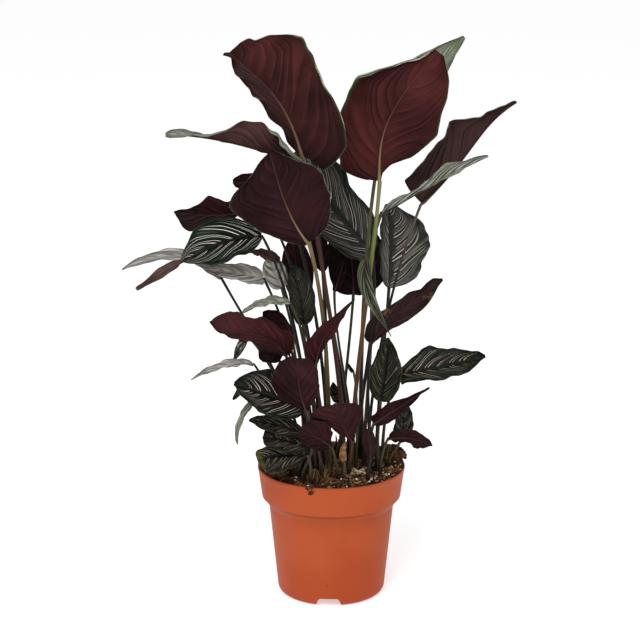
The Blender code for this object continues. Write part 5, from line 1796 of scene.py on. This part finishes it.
@dataclass
class Scrap:
    """A torn, curled bit of green leaf that lies on the soil at the back right."""

    place: Vec = (0.0670, -0.0030, 0.1895)
    tilt: Vec = (0.75, -0.30, 0.25)
    length: float = 0.017
    width: float = 0.0085
    thick: float = 0.0004
    rows: int = 15
    columns: int = 9
    finish: EarthFinish = EarthFinish("scrap_green", (44, 60, 24), (104, 120, 62), 120.0, 0.0004, 0.5)

    def build(self, paints: Paints) -> Object:
        """Make the scrap as a thin curled sheet.

        Args:
            paints: Source of the materials.

        Returns:
            The finished piece.
        """
        shape = bmesh.new()
        grid = []
        for i in range(self.rows):
            u = i / (self.rows - 1) * 2.0 - 1.0
            row = []
            for j in range(self.columns):
                v = j / (self.columns - 1) * 2.0 - 1.0
                torn = 1.0 + 0.14 * math.sin(9.0 * u + 2.0 * v)
                reach = self.width * math.sqrt(max(0.04, 1.0 - u * u * 0.9)) * torn
                curl = 0.004 * v * v + 0.0025 * math.sin(2.2 * u) + 0.001 * math.sin(7.0 * u * v)
                row.append(shape.verts.new((u * self.length * 0.5, v * reach * 0.5, curl)))
            grid.append(row)
        for one, two in zip(grid, grid[1:]):
            bridge(shape, one, two, closed=False)
        bmesh.ops.solidify(shape, geom=list(shape.faces), thickness=self.thick)
        turn = Euler(self.tilt).to_matrix().to_4x4()
        turn.translation = Vector(self.place)
        bmesh.ops.transform(shape, matrix=turn, verts=shape.verts)
        bmesh.ops.recalc_face_normals(shape, faces=shape.faces)
        piece = shaped("leaf_scrap", shape)
        piece.data.shade_smooth()
        piece.data.materials.append(paints.get(self.finish))
        return piece


CRUMB_DARK = EarthFinish("crumb_dark", (22, 13, 9), (110, 72, 45))
SPILLS = (
    (Ledge(-0.28, 0.060, ((0.0956, 0.1706), (0.0953, 0.1680), (0.0950, 0.1640), (0.0944, 0.1600))),
     Strewn("soil_spill", CRUMB_DARK, 150000.0, 0.0010, 0.0046, (1.0, 0.7, 0.9), 91, 0.5, reach=1.0,
            upward=-1.0, lift=0.4)),
    (Ledge(1.80, 0.20, ((0.0900, 0.1830), (0.0945, 0.1815), (0.0975, 0.1775), (0.0970, 0.1728))),
     Strewn("heap_edge", CRUMB_DARK, 150000.0, 0.0016, 0.0066, (1.0, 0.9, 0.8), 93, 0.6, reach=1.0,
            upward=-1.0, lift=0.3)),
)
STREWN = (
    Strewn("soil_crumbs", CRUMB_DARK, 90000.0, 0.0012, 0.0042, (1.0, 0.9, 0.7), 11, 0.5),
    Strewn("soil_clods", EarthFinish("clod_brown", (32, 19, 13), (142, 95, 60)), 12000.0,
           0.003, 0.0094, (1.0, 0.85, 0.65), 23, 0.6),
    Strewn("heap_crumbs", CRUMB_DARK, 110000.0, 0.0020, 0.0075, (1.0, 0.9, 0.8), 29, 0.6, 0.021,
           (0.080, 0.020), 0.1, 0.9),
    Strewn("light_crumbs", EarthFinish("crumb_light", (96, 70, 48), (196, 162, 124), 260.0),
           42000.0, 0.0012, 0.0042, (1.0, 0.8, 0.6), 31, 0.6, 0.052, (0.046, -0.024), lift=0.9),
    Strewn("perlite", EarthFinish("perlite_white", (196, 188, 174), (240, 236, 226), 300.0, 0.0006),
           5200.0, 0.0012, 0.0036, (1.0, 0.9, 0.8), 37, 0.45, lift=0.9),
    Strewn("bark_chips", EarthFinish("bark_brown", (70, 42, 26), (158, 112, 74), 180.0),
           5200.0, 0.003, 0.0085, (1.4, 0.55, 0.32), 51, 0.4, 0.086),
    Strewn("root_fibres", EarthFinish("fibre_tan", (92, 62, 38), (186, 148, 104), 200.0),
           9000.0, 0.004, 0.0120, (1.5, 0.10, 0.09), 67, 0.7, 0.088),
    Strewn("pale_clump", EarthFinish("clump_pale", (150, 132, 100), (226, 214, 180), 260.0),
           100000.0, 0.0012, 0.0052, (1.2, 0.8, 0.6), 83, 0.6, 0.013, (0.031, -0.034), lift=1.4),
    Strewn("red_litter", EarthFinish("litter_red", (40, 16, 16), (98, 44, 38), 200.0),
           9000.0, 0.004, 0.0110, (1.5, 0.30, 0.16), 97, 0.7, 0.030, (-0.012, -0.050), lift=0.9),
)


@dataclass
class Soil:
    """Potting soil: a rough top inside the rim, with crumbs, perlite and bark strewn on it.

    The top has lumps and grains on it, sinks towards the wall from sink_from on, and stays under
    highest.
    """

    rings: int = 84
    sectors: int = 200
    gap: float = 0.0003
    bed_z: float = 0.1400
    lumps: float = 0.0024
    grains: float = 0.0010
    sink_from: float = 0.082
    sink_over: float = 0.010
    sink: float = 0.0012
    highest: float = RIM_Z + 0.0165
    finish: EarthFinish = EarthFinish("soil_damp", (23, 14, 9), (80, 49, 30))

    def top(self, x: float, y: float) -> float:
        """Height of the finished top at a place.

        Args:
            x: Place along X.
            y: Place along Y.

        Returns:
            The height above the pot's base.
        """
        place = Vector((x * 60.0, y * 60.0, 3.1))
        fine = noise.fractal(place, 1.0, 2.1, 4) * self.lumps
        fine += noise.fractal(place * 4.3, 1.0, 2.0, 3) * self.grains
        edge = max(0.0, (math.hypot(x, y) - self.sink_from) / self.sink_over)
        return min(float(soil_height(x, y)) + fine - self.sink * edge, self.highest)

    def ground(self) -> Object:
        """Top of the soil with its side and a bed under it.

        Returns:
            The object, in the scene.
        """
        shape = bmesh.new()
        full = float(inner_radius(SOIL_Z)) - self.gap
        centre = shape.verts.new((0.0, 0.0, self.top(0.0, 0.0)))
        turns = [TURN * k / self.sectors for k in range(self.sectors)]
        rings = []
        for r in range(1, self.rings + 1):
            places = [(full * r / self.rings * math.cos(turn), full * r / self.rings * math.sin(turn))
                      for turn in turns]
            rings.append([shape.verts.new((x, y, self.top(x, y))) for x, y in places])
        low = float(inner_radius(self.bed_z)) - self.gap
        rings.append([shape.verts.new((low * math.cos(turn), low * math.sin(turn), self.bed_z))
                      for turn in turns])
        for one, two in zip(rings[0], rings[0][1:] + rings[0][:1]):
            shape.faces.new((centre, one, two))
        for one, two in zip(rings, rings[1:]):
            bridge(shape, one, two)
        shape.faces.new(list(reversed(rings[-1])))
        ground = shaped("soil_ground", shape)
        ground.data.shade_smooth()
        return ground

    def build(self, paints: Paints, stalks: Tree) -> list[Object]:
        """Make the soil and what lies on it.

        Args:
            paints: Source of the materials.
            stalks: The tree that sweeps stalks.

        Returns:
            The finished pieces.
        """
        ground = self.ground()
        ground.data.materials.append(paints.get(self.finish))
        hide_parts("soil")
        tree = strewn_tree()
        pieces = [ground] + [strewn.build(tree, ground, paints) for strewn in STREWN]
        for ledge, strewn in SPILLS:
            strip = ledge.strip()
            pieces.append(strewn.build(tree, strip, paints))
            remove(strip)
        pieces += [Stubs().build(stalks, paints), Scrap().build(paints)]
        for piece in pieces:
            ride(piece)
        return pieces


# Studio


@dataclass
class Studio:
    """Pale floor, soft lights and a camera at the photograph's height."""

    place: Vec = (-0.0147, -2.6, 1.061)
    tilt: float = math.radians(75.0)
    lens: float = 118.6
    sensor: float = 36.0
    farthest: float = 50.0
    aim: Vec = (0.0, 0.0, 0.40)
    glow: float = 0.50
    floor_half: float = 8.0
    floor_z: float = -0.0005
    lamps: tuple[tuple[str, Vec, float, float], ...] = (
        ("key", (-0.75, -2.45, 2.6), 1.4, 53.0), ("fill", (1.6, -2.1, 1.7), 2.0, 8.0))

    def camera(self) -> None:
        """Place the camera."""
        data = bpy.data.cameras.new("camera")
        data.lens = self.lens
        data.sensor_width = self.sensor
        data.clip_end = self.farthest
        eye = placed("camera", data)
        eye.location = self.place
        eye.rotation_euler = Euler((self.tilt, 0.0, 0.0))
        bpy.context.scene.camera = eye

    def lamp(self, name: str, place: Vec, size: float, power: float) -> None:
        """Add a soft square light that faces the plant's middle.

        Args:
            name: The light's name.
            place: Where it stands.
            size: Side of its square.
            power: Its power in watts.
        """
        data = bpy.data.lights.new(name, "AREA")
        data.shape = "SQUARE"
        data.size = size
        data.energy = power
        light = placed(name, data)
        light.location = place
        light.rotation_euler = (Vector(self.aim) - Vector(place)).to_track_quat("-Z", "Y").to_euler()

    def sky(self) -> None:
        """White surroundings, brighter to the camera than to the plant."""
        world = bpy.data.worlds.new("studio_light")
        world.use_nodes = True
        nodes = Nodes(world.node_tree)
        sky = nodes.tree.nodes["Background"]
        ray = nodes.node("ShaderNodeLightPath").outputs["Is Camera Ray"]
        level = nodes.node("ShaderNodeMapRange", {"Value": ray, "To Min": self.glow, "To Max": 1.0})
        nodes.feed(sky.inputs["Strength"], level)
        nodes.feed(sky.inputs["Color"], WHITE)
        bpy.context.scene.world = world

    def build(self, paints: Paints) -> None:
        """Set up the floor, the surroundings, the lights and the camera.

        Args:
            paints: Materials of the finishes.
        """
        shape = bmesh.new()
        bmesh.ops.create_grid(shape, x_segments=1, y_segments=1, size=self.floor_half)
        floor = shaped("studio_floor", shape)
        floor.data.materials.append(paints.get(FloorFinish()))
        floor.location.z = self.floor_z
        self.sky()
        for lamp in self.lamps:
            self.lamp(*lamp)
        self.camera()
        bpy.context.scene.view_settings.view_transform = "Standard"


def main() -> None:
    """Build the plant, its pot and the studio."""
    logging.basicConfig(level=logging.INFO, format="%(message)s")
    paints = Paints()
    stalks = stalk_tree()
    pieces = [leaf.build(paints, stalks) for leaf in LEAVES]
    pieces.append(Pot().build(paints))
    pieces += Soil().build(paints, stalks)
    for piece in pieces:
        LOG.info("%s: %d faces", piece.name, len(piece.data.polygons))
    Studio().build(paints)


if __name__ == "__main__":
    main()
